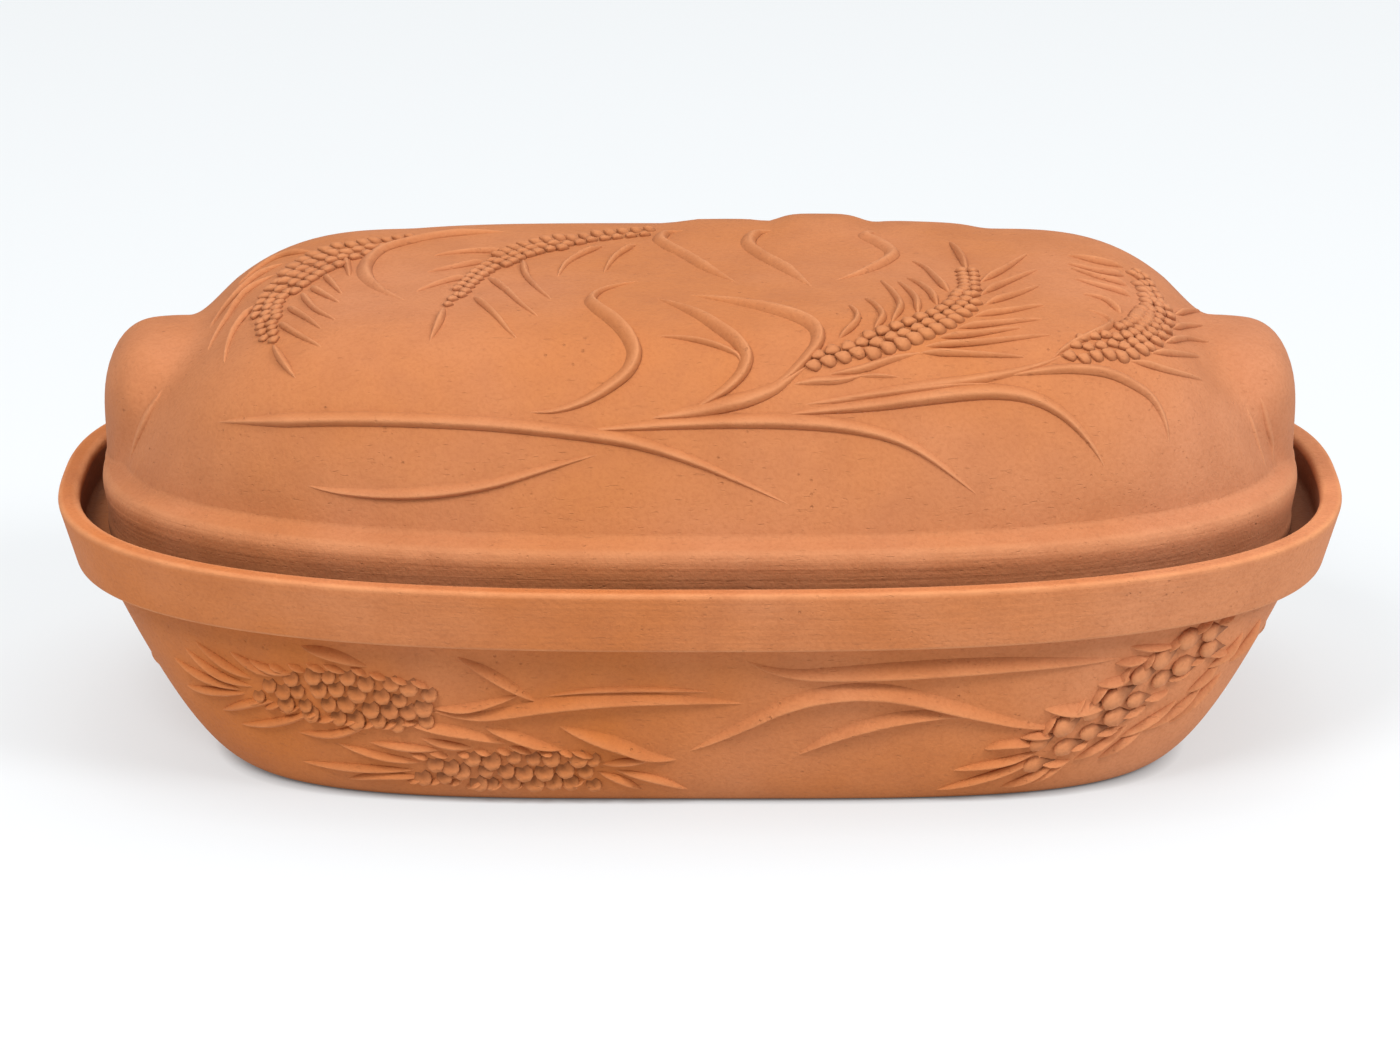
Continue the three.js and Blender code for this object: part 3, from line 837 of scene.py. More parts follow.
class GrainTree(ReliefTree):
    """Geometry Nodes that set a wheat grain on each point of a mesh: a round bud or a hollowed scale.

    A grain is a ball that heads along X and stands up along Z, with the lower half drawn out so that a
    raised end stands as a step. Lengths are shares of its half sizes.
    """

    NAME = "wheat_grains"
    INPUTS = {
        "Tip": "Float", "Tip Lift": "Float", "Swell Power": "Float", "Hollow": "Float", "Crease": "Float",
        "Spread": "Float", "Seed": "Int",
    }
    RINGS = 6
    BUD_SEGMENTS = 8
    SCALE_SEGMENTS = 10
    DEPTH = 1.8
    SLIM_POWER = 1.5
    POINT_POWER = 3.0
    POINT_LENGTH = 0.6
    CUP_AHEAD = 0.2
    CUP_SPAN = (0.0, 0.85, 1.0, 0.0)
    WEAR_AND_HIGHLIGHT = 0.4
    # Spans of the painted shade at a grain's foot and at a scale's overhung end.
    FOOT_SPAN = (0.0, 0.75, 1.0, 0.0)
    OVERHANG_SPAN = (0.0, 0.9, 0.0, 1.4)

    def shaped(self, graph: Graph, given: bpy.types.bpy_prop_collection) -> Socket:
        """Adds the buds and the scales, each on its own points.

        Args:
            graph: The tree's graph.
            given: The tree's inputs.

        Returns:
            The grains, as instances.
        """
        ways = {0: graph.stored("up", "FLOAT_VECTOR"), 1: graph.stored("along", "FLOAT_VECTOR")}
        turn = graph.add("FunctionNodeAxesToRotation", ways, primary_axis="Z", secondary_axis="X").outputs[0]
        bounds = {2: graph.less(1.0, given["Spread"]), 3: graph.math("ADD", 1.0, given["Spread"])}
        chance = graph.add("FunctionNodeRandomValue", {**bounds, "Seed": given["Seed"]}, data_type="FLOAT")
        size = graph.scaled(graph.stored("size", "FLOAT_VECTOR"), chance.outputs[1])
        scale = graph.stored("scale", "BOOLEAN")
        bud = graph.add("FunctionNodeBooleanMath", {0: scale}, operation="NOT").outputs[0]
        both = graph.add("GeometryNodeJoinGeometry")
        kinds = ((bud, 0.0, self.BUD_SEGMENTS), (scale, given["Hollow"], self.SCALE_SEGMENTS))
        for chosen, hollow, segments in kinds:
            grain = self._grain(graph, given, hollow, segments)
            where = {"Points": given["Geometry"], "Selection": chosen, "Rotation": turn, "Scale": size}
            copies = graph.add("GeometryNodeInstanceOnPoints", {**where, "Instance": grain})
            self.tree.links.new(copies.outputs[0], both.inputs[0])
        return both.outputs[0]

    def _grain(
        self, graph: Graph, given: bpy.types.bpy_prop_collection, hollow: object, segments: int
    ) -> Socket:
        """Shapes one grain.

        Args:
            graph: The tree's graph.
            given: The tree's inputs.
            hollow: How deep its top is hollowed.
            segments: Faces round it.

        Returns:
            The grain, with a paler raised top, partly wear and partly painted highlight, and painted shade at
            its foot and overhung end.
        """
        form = {"Segments": segments, "Rings": self.RINGS, "Radius": 1.0}
        ball = graph.add("GeometryNodeMeshUVSphere", form).outputs[0]
        level = {"Geometry": ball, "Rotation": (0.0, math.pi / 2, 0.0)}
        laid = graph.add("GeometryNodeTransform", level).outputs[0]
        x, y, z = graph.axes(graph.add("GeometryNodeInputPosition").outputs[0])
        ahead, high = graph.positive(x), graph.positive(z)
        slim = graph.less(1.0, graph.times(graph.power(ahead, self.SLIM_POWER), given["Tip"]))
        reach = graph.times(given["Tip"], self.POINT_LENGTH)
        point = graph.times(graph.power(ahead, self.POINT_POWER), reach)
        inward = graph.power(graph.less(x, self.CUP_AHEAD), 2.0)
        middle = graph.math("ADD", inward, graph.power(y, 2.0))
        cup = graph.times(graph.span(middle, *self.CUP_SPAN), hollow)
        above = graph.times(graph.less(graph.power(high, given["Swell Power"]), cup), slim)
        below = graph.times(graph.math("MINIMUM", z, 0.0), self.DEPTH)
        tilt = graph.times(x, given["Tip Lift"])
        rise = graph.math("ADD", graph.math("ADD", above, below), tilt)
        spot = {0: graph.math("ADD", x, point), 1: graph.times(y, slim), 2: rise}
        place = graph.add("ShaderNodeCombineXYZ", spot).outputs[0]
        grain = graph.add("GeometryNodeSetPosition", {"Geometry": laid, "Position": place}).outputs[0]
        # Paler raised top: partly wear, partly painted highlight.
        proud = graph.times(high, graph.less(1.0, cup))
        wear_and_highlight = graph.store(grain, "wear_and_highlight", graph.times(proud, self.WEAR_AND_HIGHLIGHT))
        # Painted shade at the grain's foot and, on hollowed scales, at the end tucked under the next one.
        overhung = graph.times(graph.span(x, *self.OVERHANG_SPAN), hollow)
        painted_shade = graph.math("MAXIMUM", graph.span(z, *self.FOOT_SPAN), overhung)
        creased = graph.store(wear_and_highlight, "shade", graph.times(painted_shade, given["Crease"]))
        return graph.add("GeometryNodeSetShadeSmooth", {"Geometry": creased}).outputs[0]


@dataclass
class WheatRelief:
    """Wheat moulded on one clay shell: drawn on the board, laid on the clay along the lines of sight.

    Step and sink are metres. Tip to spread, the crispness and the seed go into the trees. A grain lies aside
    by at most the widest multiple of its drawn gap, and heads at most the widest turn away from its ear.
    """

    ACROSS_STEPS: ClassVar[int] = 13
    SIGHT_TRIES: ClassVar[int] = 40
    SIGHT_DROP: ClassVar[float] = 0.2
    CURVE_STEPS: ClassVar[int] = 24
    LEAST_POINTS: ClassVar[int] = 5
    LEVELLING_ROUNDS: ClassVar[int] = 4
    LOWEST_PART: ClassVar[float] = 0.03
    NARROWEST_PART: ClassVar[float] = 0.16
    RISE_POWER: ClassVar[float] = 1.1
    SMALLEST_GRAIN: ClassVar[float] = 0.6
    GRAIN_SWAY: ClassVar[float] = 0.08
    GRAIN_LIFT: ClassVar[float] = 0.1
    LOOK_AHEAD: ClassVar[float] = 0.5
    HUSK_TURN: ClassVar[float] = math.radians(27.0)
    HUSK_SWAY: ClassVar[float] = 0.1
    HUSK_UNEVENNESS: ClassVar[float] = 0.15
    HUSK_TUCK: ClassVar[float] = 0.5
    HUSK_WIDTH: ClassVar[float] = 0.85
    HUSK_CURL: ClassVar[float] = 0.25
    LAST_HUSK: ClassVar[float] = 0.97

    shell: bpy.types.Object
    view: Viewpoint
    step: float = 0.0013
    sink: float = 0.00025
    width_share: float = 0.94
    tip: float = 0.45
    tip_lift: float = 0.6
    swell_power: float = 1.0
    hollow: float = 0.0
    # How strongly painted shade darkens the grains' feet and overhung ends.
    crease: float = 0.36
    spread: float = 0.06
    widest: float = 1.9
    widest_turn: float = math.radians(58.0)
    crispness: float = 0.25
    height_gain: float = 1.25
    seed: int = 11
    wires: list[tuple[LaidLine, np.ndarray, np.ndarray, Ridge]] = field(default_factory=list)
    grains: list[tuple[Triple, Triple, Triple, Triple, float]] = field(default_factory=list)

    def __post_init__(self) -> None:
        """Prepares the shell for lines of sight and nearest points."""
        mesh = self.shell.data
        corners = [tuple(v.co) for v in mesh.vertices]
        self._clay = BVHTree.FromPolygons(corners, [tuple(p.vertices) for p in mesh.polygons])
        self._chance = np.random.default_rng(self.seed)

    def _sighted(self, spot: tuple[float, float], side: Side) -> Vector:
        """Lays one drawn point on the clay.

        Args:
            spot: Millimetres across and up on the board.
            side: Side of the baker that the eye is on.

        Returns:
            The point on the clay, or the first one straight below it where the line of sight misses.
        """
        eye = side.turned(self.view.eye())
        across, up = spot
        for drop in range(self.SIGHT_TRIES):
            aim = side.turned(self.view.on_board(across, up - self.SIGHT_DROP * drop))
            hit = self._clay.ray_cast(eye, (aim - eye).normalized())[0]
            if hit is not None:
                return hit
        return self._clay.find_nearest(aim)[0]

    def lay(self, line: Line, side: Side) -> LaidLine:
        """Lays a drawn line on one side of the baker."""
        return self._on_clay(np.array([tuple(self._sighted(spot, side)) for spot in line]))

    def _on_clay(self, knots: np.ndarray) -> LaidLine:
        """Runs a curve through knots and settles it on the clay.

        Args:
            knots: Points on or near the clay, one row each.

        Returns:
            The line on the clay with its directions.
        """
        found = [self._clay.find_nearest(Vector(p)) for p in self._smooth_curve(knots)]
        points = np.array([tuple(f[0]) for f in found])
        ups = np.array([tuple(f[1]) for f in found])
        for _ in range(self.LEVELLING_ROUNDS):
            padded = np.concatenate([ups[:1], ups, ups[-1:]])
            ups = padded[:-2] + padded[1:-1] + padded[2:]
            ups /= np.linalg.norm(ups, axis=1, keepdims=True)
        alongs = np.gradient(points, axis=0)
        alongs -= ups * np.sum(alongs * ups, axis=1, keepdims=True)
        alongs /= np.linalg.norm(alongs, axis=1, keepdims=True)
        runs = run_lengths(points)
        return LaidLine(points, ups, np.cross(ups, alongs), alongs, runs / runs[-1])

    def _smooth_curve(self, knots: np.ndarray) -> np.ndarray:
        """Runs a smooth curve through three or more knots and cuts it into even steps.

        Args:
            knots: Points to pass through, one row each.

        Returns:
            Points along the curve, the relief's step apart.
        """
        padded = np.concatenate([[2 * knots[0] - knots[1]], knots, [2 * knots[-1] - knots[-2]]])
        times = summed(np.linalg.norm(np.diff(padded, axis=0), axis=1) ** 0.5)
        pieces = []
        for i in range(1, len(padded) - 2):
            (t0, t1, t2, t3), (p0, p1, p2, p3) = times[i - 1 : i + 3], padded[i - 1 : i + 3]
            t = np.linspace(t1, t2, self.CURVE_STEPS, endpoint=False)[:, None]
            a1, a2, a3 = blended(t, t0, t1, p0, p1), blended(t, t1, t2, p1, p2), blended(t, t2, t3, p2, p3)
            b1, b2 = blended(t, t0, t2, a1, a2), blended(t, t1, t3, a2, a3)
            pieces.append(blended(t, t1, t2, b1, b2))
        curve = np.concatenate([*pieces, [knots[-1]]])
        runs = run_lengths(curve)
        even = np.linspace(0.0, runs[-1], max(self.LEAST_POINTS, int(runs[-1] / self.step)))
        return np.stack([np.interp(even, runs, column) for column in curve.T], axis=1)

    def add_ridge(self, ridge: Ridge, side: Side = Side.FRONT) -> None:
        """Lays a drawn ridge on one side of the shell."""
        self._raise(self.lay(ridge.line, side), ridge)

    def _raise(self, laid: LaidLine, ridge: Ridge) -> None:
        """Keeps a laid line as a ridge to be raised.

        Args:
            laid: The line on the clay.
            ridge: The ridge's width, height, taper, lean and softness.
        """
        part = np.maximum(ridge.taper.widths(laid.shares), self.LOWEST_PART)
        widths = ridge.width / 2 * self.width_share * MM * np.maximum(part, self.NARROWEST_PART)
        rises = (ridge.height * MM * self.height_gain + self.sink) * part**self.RISE_POWER
        self.wires.append((laid, widths, rises, ridge))

    def add_ear(self, ear: Ear, side: Side = Side.FRONT) -> None:
        """Sets an ear's grains, awns and husks on one side of the shell.

        Args:
            ear: The drawn ear.
            side: Side of the baker.
        """
        lead, *others = ear.awns
        tall = ear.height * ear.awn_share
        self.add_ridge(Ridge(lead, ear.lead_width, tall, softness=ear.lead_softness), side)
        for awn in others:
            hair = Ridge(awn, ear.awn_width, tall, taper=ear.awn_taper, softness=ear.awn_softness)
            self.add_ridge(hair, side)
        line = self._smooth_curve(np.array(ear.line, dtype=float) * MM) / MM
        ways = np.gradient(line, axis=0)
        runs = run_lengths(np.array([tuple(self._sighted(tuple(spot), side)) for spot in line]))
        rows = round(runs[-1] / (ear.pitch * MM))
        for row in range(rows):
            fullness = ear.fullness((row + 0.5) / rows)
            share = self.SMALLEST_GRAIN + (1 - self.SMALLEST_GRAIN) * fullness
            columns = max(1, round(ear.width * fullness / ear.across))
            for column in range(columns):
                stagger = 0.25 + 0.5 * (column % 2)
                run = (row + stagger + self._chance.normal(0.0, ear.unevenness)) / rows * runs[-1]
                centre, way = interpolated(run, runs, line), interpolated(run, runs, ways)
                out = (column - (columns - 1) / 2 + self._chance.normal(0.0, ear.unevenness)) * ear.across
                self._set_grain(centre, way / np.linalg.norm(way), out, ear, side, share)
        if ear.husk:
            self._add_husks(self.lay(ear.line, side), rows, ear)

    def _set_grain(
        self, centre: np.ndarray, way: np.ndarray, out: float, ear: Ear, side: Side, share: float
    ) -> None:
        """Sets one grain of an ear where the eye sees it.

        Args:
            centre: Point of the ear's line on the board, in millimetres.
            way: The line's direction on the board there.
            out: Millimetres aside from the line.
            ear: The ear itself.
            side: Side of the baker.
            share: Part of the ear's full grain size.
        """
        aside = np.array([-way[1], way[0]])
        angle = math.radians(ear.slant) + math.radians(ear.fan) * out / (ear.width / 2)
        angle += self._chance.normal(0.0, self.GRAIN_SWAY)
        nose = way * math.cos(angle) + aside * math.sin(angle)
        edge = centre + aside * out
        middle, ahead, seen, tip = (
            self._sighted(tuple(spot), side)
            for spot in (centre, centre + way * self.LOOK_AHEAD, edge, edge + nose * self.LOOK_AHEAD)
        )
        shift = seen - middle
        most = self.widest * abs(out) * MM
        if shift.length > most:
            shift *= most / shift.length
        here, up = self._clay.find_nearest(middle + shift)[:2]
        along = (ahead - middle).normalized()
        across = up.cross(along).normalized()
        heading = tip - seen
        turn = math.atan2(heading.dot(across), heading.dot(along))
        turn = min(self.widest_turn, max(-self.widest_turn, turn))
        heading = (along * math.cos(turn) + across * math.sin(turn)) * ear.facing
        sizes = tuple(half * share * MM for half in (*ear.grain, ear.height))
        tilt = math.radians(ear.tilt)
        stand = up * math.cos(tilt) - heading * math.sin(tilt)
        place = here + up * sizes[2] * self.GRAIN_LIFT
        self.grains.append((tuple(place), tuple(stand), tuple(heading), sizes, float(ear.scales)))

    def _add_husks(self, laid: LaidLine, rows: int, ear: Ear) -> None:
        """Lets a short pointed husk stand out beside each row of grains along both edges of an ear.

        Args:
            laid: The ear's line on the clay.
            rows: Rows of grains.
            ear: The ear itself.
        """
        steps = np.arange(len(laid.points))
        for hand in (-1.0, 1.0):
            for row in range(rows):
                run = min(self.LAST_HUSK, (row + 0.5 + 0.25 * hand) / rows)
                spine, side, along = (
                    interpolated(run * steps[-1], steps, values)
                    for values in (laid.points, laid.sides, laid.alongs)
                )
                edge = ear.width * MM / 2 * ear.fullness(run)
                turn = self.HUSK_TURN + self._chance.normal(0.0, self.HUSK_SWAY)
                way = along * math.cos(turn) + side * hand * math.sin(turn)
                reach = ear.husk * MM * (1 + self._chance.normal(0.0, self.HUSK_UNEVENNESS))
                start = spine + side * hand * (edge - self.HUSK_TUCK * MM)
                middle = start + way * reach * 0.5
                end = start + way * reach + along * reach * self.HUSK_CURL
                husk = Ridge((), ear.awn_width * self.HUSK_WIDTH, ear.height * ear.awn_share)
                self._raise(self._on_clay(np.array([start, middle, end])), husk)

    def build_ridges(self, name: str, tree: RidgeTree, clay: bpy.types.Material) -> bpy.types.Object:
        """Raises all laid ridges as one plain mesh.

        Args:
            name: Name of the piece.
            tree: The ridge tree.
            clay: Material of the clay.

        Returns:
            The finished piece.
        """
        edges: list[tuple[int, int]] = []
        keys = ("spine", "up", "side", "half_width", "rise", "lean", "softness")
        columns: dict[str, list[np.ndarray]] = {key: [] for key in keys}
        first = 0
        for laid, widths, rises, ridge in self.wires:
            count = len(laid.points)
            edges += [(first + i, first + i + 1) for i in range(count - 1)]
            same = (np.full(count, value) for value in (ridge.lean, ridge.softness))
            for key, values in zip(keys, (laid.points, laid.ups, laid.sides, widths, rises, *same)):
                columns[key].append(values)
            first += count
        fields = {key: np.concatenate(values) for key, values in columns.items()}
        settings = {"Sink": self.sink, "Across Steps": self.ACROSS_STEPS, "Crispness": self.crispness}
        return tree.raised(name, fields["spine"], edges, fields, {**settings, "Clay": clay})

    def build_grains(self, name: str, tree: GrainTree, clay: bpy.types.Material) -> bpy.types.Object:
        """Sets all grains as one plain mesh.

        Args:
            name: Name of the piece.
            tree: The grain tree.
            clay: Material of the clay.

        Returns:
            The finished piece.
        """
        places, *values = map(np.array, zip(*self.grains))
        settings = {
            "Tip": self.tip, "Tip Lift": self.tip_lift, "Swell Power": self.swell_power,
            "Hollow": self.hollow, "Crease": self.crease, "Spread": self.spread, "Seed": self.seed,
            "Clay": clay,
        }
        return tree.raised(name, places, [], dict(zip(("up", "along", "size", "scale"), values)), settings)


LID_LEAVES: tuple[Ridge, ...] = (
    Ridge(drawn(-137, 13.6, -120, 14.2, -100, 14.6, -80, 14.2, -60, 13.2, -45, 11.8, -30, 10, -20, 8.4,
          -10, 5.6, 0, 2, 10, -2.4, 19, -6.6, 28, -11), width=4.8, height=1.7, taper=Taper.STALK, lean=-0.4,
          softness=1.25),
    Ridge(drawn(-34, 11.2, -20, 12.3, -5, 13.4, 10, 14, 25, 13.9, 40, 12.7, 52, 10.2, 60, 6.9, 66, 3.1,
          73, -2.4, 80, -8.4), width=5.2, height=1.8, lean=-0.45, softness=1.25),
    Ridge(drawn(-112, -4, -103, -5.6, -93, -6.4, -82, -6.4, -70, -5.4, -58, -3.3, -46, 0, -36, 2.8, -27, 5),
          width=4.4, height=1.5, lean=-0.55, softness=1.4),
    Ridge(drawn(-49, 16.4, -41, 16.9, -33, 19.5, -26, 23.5, -20.5, 28, -18.6, 32.5, -20, 37, -24, 41.5,
          -29, 45.2, -31, 47.8, -28.5, 50.3, -23, 52.2, -16, 53.6), width=5.0, height=2.0, lean=-0.45),
    Ridge(drawn(-5, 15.5, 2, 19.6, 8, 23.6, 12, 28, 13, 32, 10.5, 36, 5, 40, 0, 43.2, -6, 46, -13, 48.8),
          width=4.6, height=1.9, lean=-0.45),
    Ridge(drawn(12, 29, 11, 32.3, 7, 34.5, 0, 36.6, -6, 37.5, -13, 38), width=3.0, height=1.1, lean=0.3),
    Ridge(drawn(17, 21.6, 24, 26.2, 29.5, 31.4, 33, 36, 32.6, 39.6, 28.5, 42.3, 20, 45, 10, 47.2, 0, 49,
          -4, 49.7), width=4.8, height=1.9, lean=-0.45),
    Ridge(drawn(-14, 14.8, -2, 16.6, 6, 18.4, 14, 20.4, 21, 23.2, 26, 26.8, 31, 30), width=5.6, height=1.6,
          lean=-0.35),
    Ridge(drawn(26, 24.4, 33, 25.3, 40, 25.6, 47, 27.2), width=3.4, height=1.1, lean=-0.3),
    Ridge(drawn(36, 27, 46, 28.8, 54, 31.4, 63, 33.4), width=3.4, height=1.2, lean=-0.2),
    Ridge(drawn(44, 26.6, 50, 26.7, 57, 26.3), width=2.0, height=0.7),
    Ridge(drawn(24, 15.8, 36, 17.2, 50, 18.8, 62, 20.5, 74, 21.9, 84, 22.2, 93, 20.8, 101, 17, 107, 11.8,
          111.5, 6, 115, -0.5), width=5.6, height=2.0, lean=-0.45),
    Ridge(drawn(34, 19.6, 48, 21.2, 62, 23, 74, 24.2, 84, 24.4), width=3.6, height=1.3, lean=-0.2),
    Ridge(drawn(28, 18.4, 45, 20.8, 62, 23.6, 78, 25.8, 90, 28.2, 98, 30.6, 104, 33.2), width=4.2,
          height=1.1, lean=-0.2),
    Ridge(drawn(86, 26.6, 97, 28.2, 106, 28.7, 115, 27.6, 122, 24.5, 127.5, 20.5, 131, 14.5, 132.6, 6),
          width=4.4, height=1.5, lean=-0.3),
    Ridge(drawn(99, 31.2, 104, 35.2, 109, 37.5, 114, 39.9, 116, 42, 113, 44, 108, 45.8), width=3.4,
          height=1.3),
)

CROWN_LEAVES: tuple[Ridge, ...] = (
    Ridge(drawn(-4, 67.8, -9.4, 66.8, -11.4, 65, -9, 63, -4, 60.4, 3, 56.3, 11, 52.6), width=5.0,
          height=1.3, taper=Taper.STALK, lean=0.3),
    Ridge(drawn(20.5, 68, 15.4, 66.6, 13.6, 63.8, 17, 60.6, 24.7, 56.4, 32, 51.4), width=5.2, height=1.4,
          taper=Taper.STALK, lean=0.3),
    Ridge(drawn(49.5, 67.4, 46.4, 66, 50.6, 63.8, 54.2, 61, 52, 58.8, 46, 56, 37.5, 53.4), width=5.2,
          height=1.4, taper=Taper.STALK, lean=0.2),
    Ridge(drawn(-54, 67.4, -66, 66.8, -78, 65.3, -89.4, 62.4, -94.3, 58, -94.3, 54.6, -90, 50.8, -82, 47.4),
          width=5.2, height=1.4, taper=Taper.STALK, lean=0.3),
)

CROWN_BACK_LEAVES: tuple[Ridge, ...] = (
    Ridge(drawn(12, 27, 10.5, 23, 6, 18.5, -1, 15, -11, 12.4), width=4.8, height=1.5, lean=-0.3),
    Ridge(drawn(-21, 27, -22.5, 23, -27, 18.5, -34, 14.6, -43, 11.6), width=5.0, height=1.5, lean=-0.3),
    Ridge(drawn(-52, 26.5, -54, 22.5, -58, 18, -65, 14.4, -74, 11.4), width=5.0, height=1.5, lean=-0.2),
    Ridge(drawn(36, 27, 31.5, 22.5, 30, 17.6, 33, 13.8, 41, 11), width=4.8, height=1.4, lean=-0.3),
    Ridge(drawn(74, 25, 64, 21.6, 54, 18.8, 43, 16.2, 30, 14.4), width=4.6, height=1.3, lean=-0.2),
)

LUG_CREASES: tuple[Ridge, ...] = (
    Ridge(drawn(-151, 24, -154, 19.4, -157, 13.8, -160, 6, -161.4, 1), width=4.2, height=0.7, lean=0.35),
    Ridge(drawn(157.5, 22, 160, 14, 161.6, 6, 162.4, 0), width=3.4, height=0.45, lean=-0.2),
    Ridge(drawn(153.5, 19, 156.4, 11.5, 158.6, 4.5, 160, -1), width=3.2, height=0.4, lean=-0.2),
)

# The leaves of the lid's front that are repeated on its back.
BACK_OF_LID = (0, 1, 2, 11, 13, 14)

LID_EARS: tuple[Ear, ...] = (
    Ear(drawn(31, 30.4, 36, 31.9, 43, 33.7, 50, 35.9, 57, 38.2, 63, 40.5, 69, 43.2, 73.5, 46.2, 75.8, 49.6,
              75.9, 53, 75.2, 56.6),
        width=8.6, pitch=4.2, across=2.75, height=1.6, facing=-1.0,
        awns=(
            drawn(75.2, 56, 74.2, 59, 72.3, 62, 70, 64.8), drawn(39, 37, 43.5, 41, 44.5, 43.5, 42, 46.8),
            drawn(49, 39.5, 51.5, 43, 50, 46, 46.2, 48.7), drawn(54, 41.5, 56.5, 46, 54.5, 50, 50.8, 53.7),
            drawn(61.5, 44, 61, 48, 58, 51.5, 55.5, 53.4), drawn(67, 46.5, 65, 50, 61, 53, 58, 54.4),
            drawn(70.5, 50, 67, 53.5, 63.5, 57, 59.5, 59.2), drawn(79, 53, 85, 56, 92.5, 61.2),
            drawn(79, 49.4, 87, 53, 95.5, 56.8), drawn(80, 46.6, 88, 49, 96, 52.2),
            drawn(77, 43.4, 86, 44.5, 97.5, 46.7), drawn(72, 40, 82, 41, 97, 42.6),
            drawn(67, 37.4, 76, 38, 91, 40.2), drawn(63, 34.9, 80, 36, 99.5, 38.2),
            drawn(62, 33.2, 76, 32.7, 92, 31.9),
        )),
    Ear(drawn(103.5, 33.4, 109.5, 34.5, 115.5, 35.4, 121.5, 36.9, 126, 39.6, 128, 43.2, 127.6, 47.2,
              126, 50.8, 123.8, 54, 121.6, 56.6),
        width=13.0, pitch=4.3, across=2.9, height=1.5, slim_root=0.45, facing=-1.0,
        awns=(
            drawn(120, 57, 112, 58.6, 103, 60.8), drawn(120, 54.6, 112, 56, 103, 58.4),
            drawn(121, 51.8, 112, 54.4, 104, 57.2), drawn(122, 48.8, 112, 52, 105, 54.2),
            drawn(119, 44, 114, 48, 107.5, 49.9), drawn(131, 36, 138, 37, 144, 36.4),
            drawn(127, 33.2, 134, 32.7, 141, 32), drawn(121, 31, 132, 28, 142, 25.3),
            drawn(134, 44, 137, 44.6, 141, 45), drawn(133, 40, 137, 40.6, 142, 41),
        )),
    Ear(drawn(-13, 67.2, -21, 66.4, -29, 65.5, -37, 64.2, -44, 63, -50, 61.4, -55, 59.3, -59.5, 57,
              -63, 54.6, -66, 51.8, -69, 48.8, -72, 45.8),
        width=6.6, pitch=4.1, across=2.5, height=1.4, slim_root=0.65, slim_tip=0.45, grain=(2.35, 2.1),
        awns=(
            drawn(-72, 46, -74, 41, -76.4, 36), drawn(-65, 54.5, -72, 53, -80.5, 50.3),
            drawn(-60, 58.8, -70, 57, -77.5, 55.8), drawn(-54, 61.4, -65, 61.5, -75.5, 60.5),
            drawn(-60, 54.5, -55, 51, -50, 46.5, -45.5, 43.2),
            drawn(-64, 49, -58, 44, -54, 39.5, -51.5, 37), drawn(-50, 59.5, -49, 55, -46, 51.5, -41.8, 48),
            drawn(-27, 63.4, -34, 60.5, -38, 58, -40.2, 54.6), drawn(-18, 63.8, -24, 60, -27.2, 55.7),
        )),
    Ear(drawn(-77, 65.9, -87, 64, -95, 62.2, -100, 61, -105, 59.3, -110, 56.7, -114, 54, -118, 50.8,
              -121, 47.2, -122.3, 43.5, -122.2, 40, -121.4, 36),
        width=11.2, pitch=4.1, across=2.9, height=1.4, slim_root=0.3, slim_tip=0.45, grain=(2.4, 2.35),
        awns=(
            drawn(-120.6, 35.6, -117.5, 30.5, -113.8, 25.6),
            drawn(-117, 58.6, -127, 53, -133, 47, -138.5, 40),
            drawn(-119, 55.5, -128, 50, -134, 42, -139, 33.5), drawn(-125, 47, -131, 40, -134.3, 30),
            drawn(-109, 61.6, -120, 59.5, -131, 51.6), drawn(-110, 51.6, -106, 49.5, -101.5, 47.2),
            drawn(-106, 55, -103, 52, -100.8, 49.6), drawn(-100, 59.6, -99.3, 57, -98.8, 54.6),
            drawn(-112.5, 50, -108, 45, -102.6, 42.3), drawn(-116.5, 46, -112, 43.5, -106.6, 39.7),
            drawn(-119, 41.4, -113, 38, -106.6, 34.7),
        )),
)

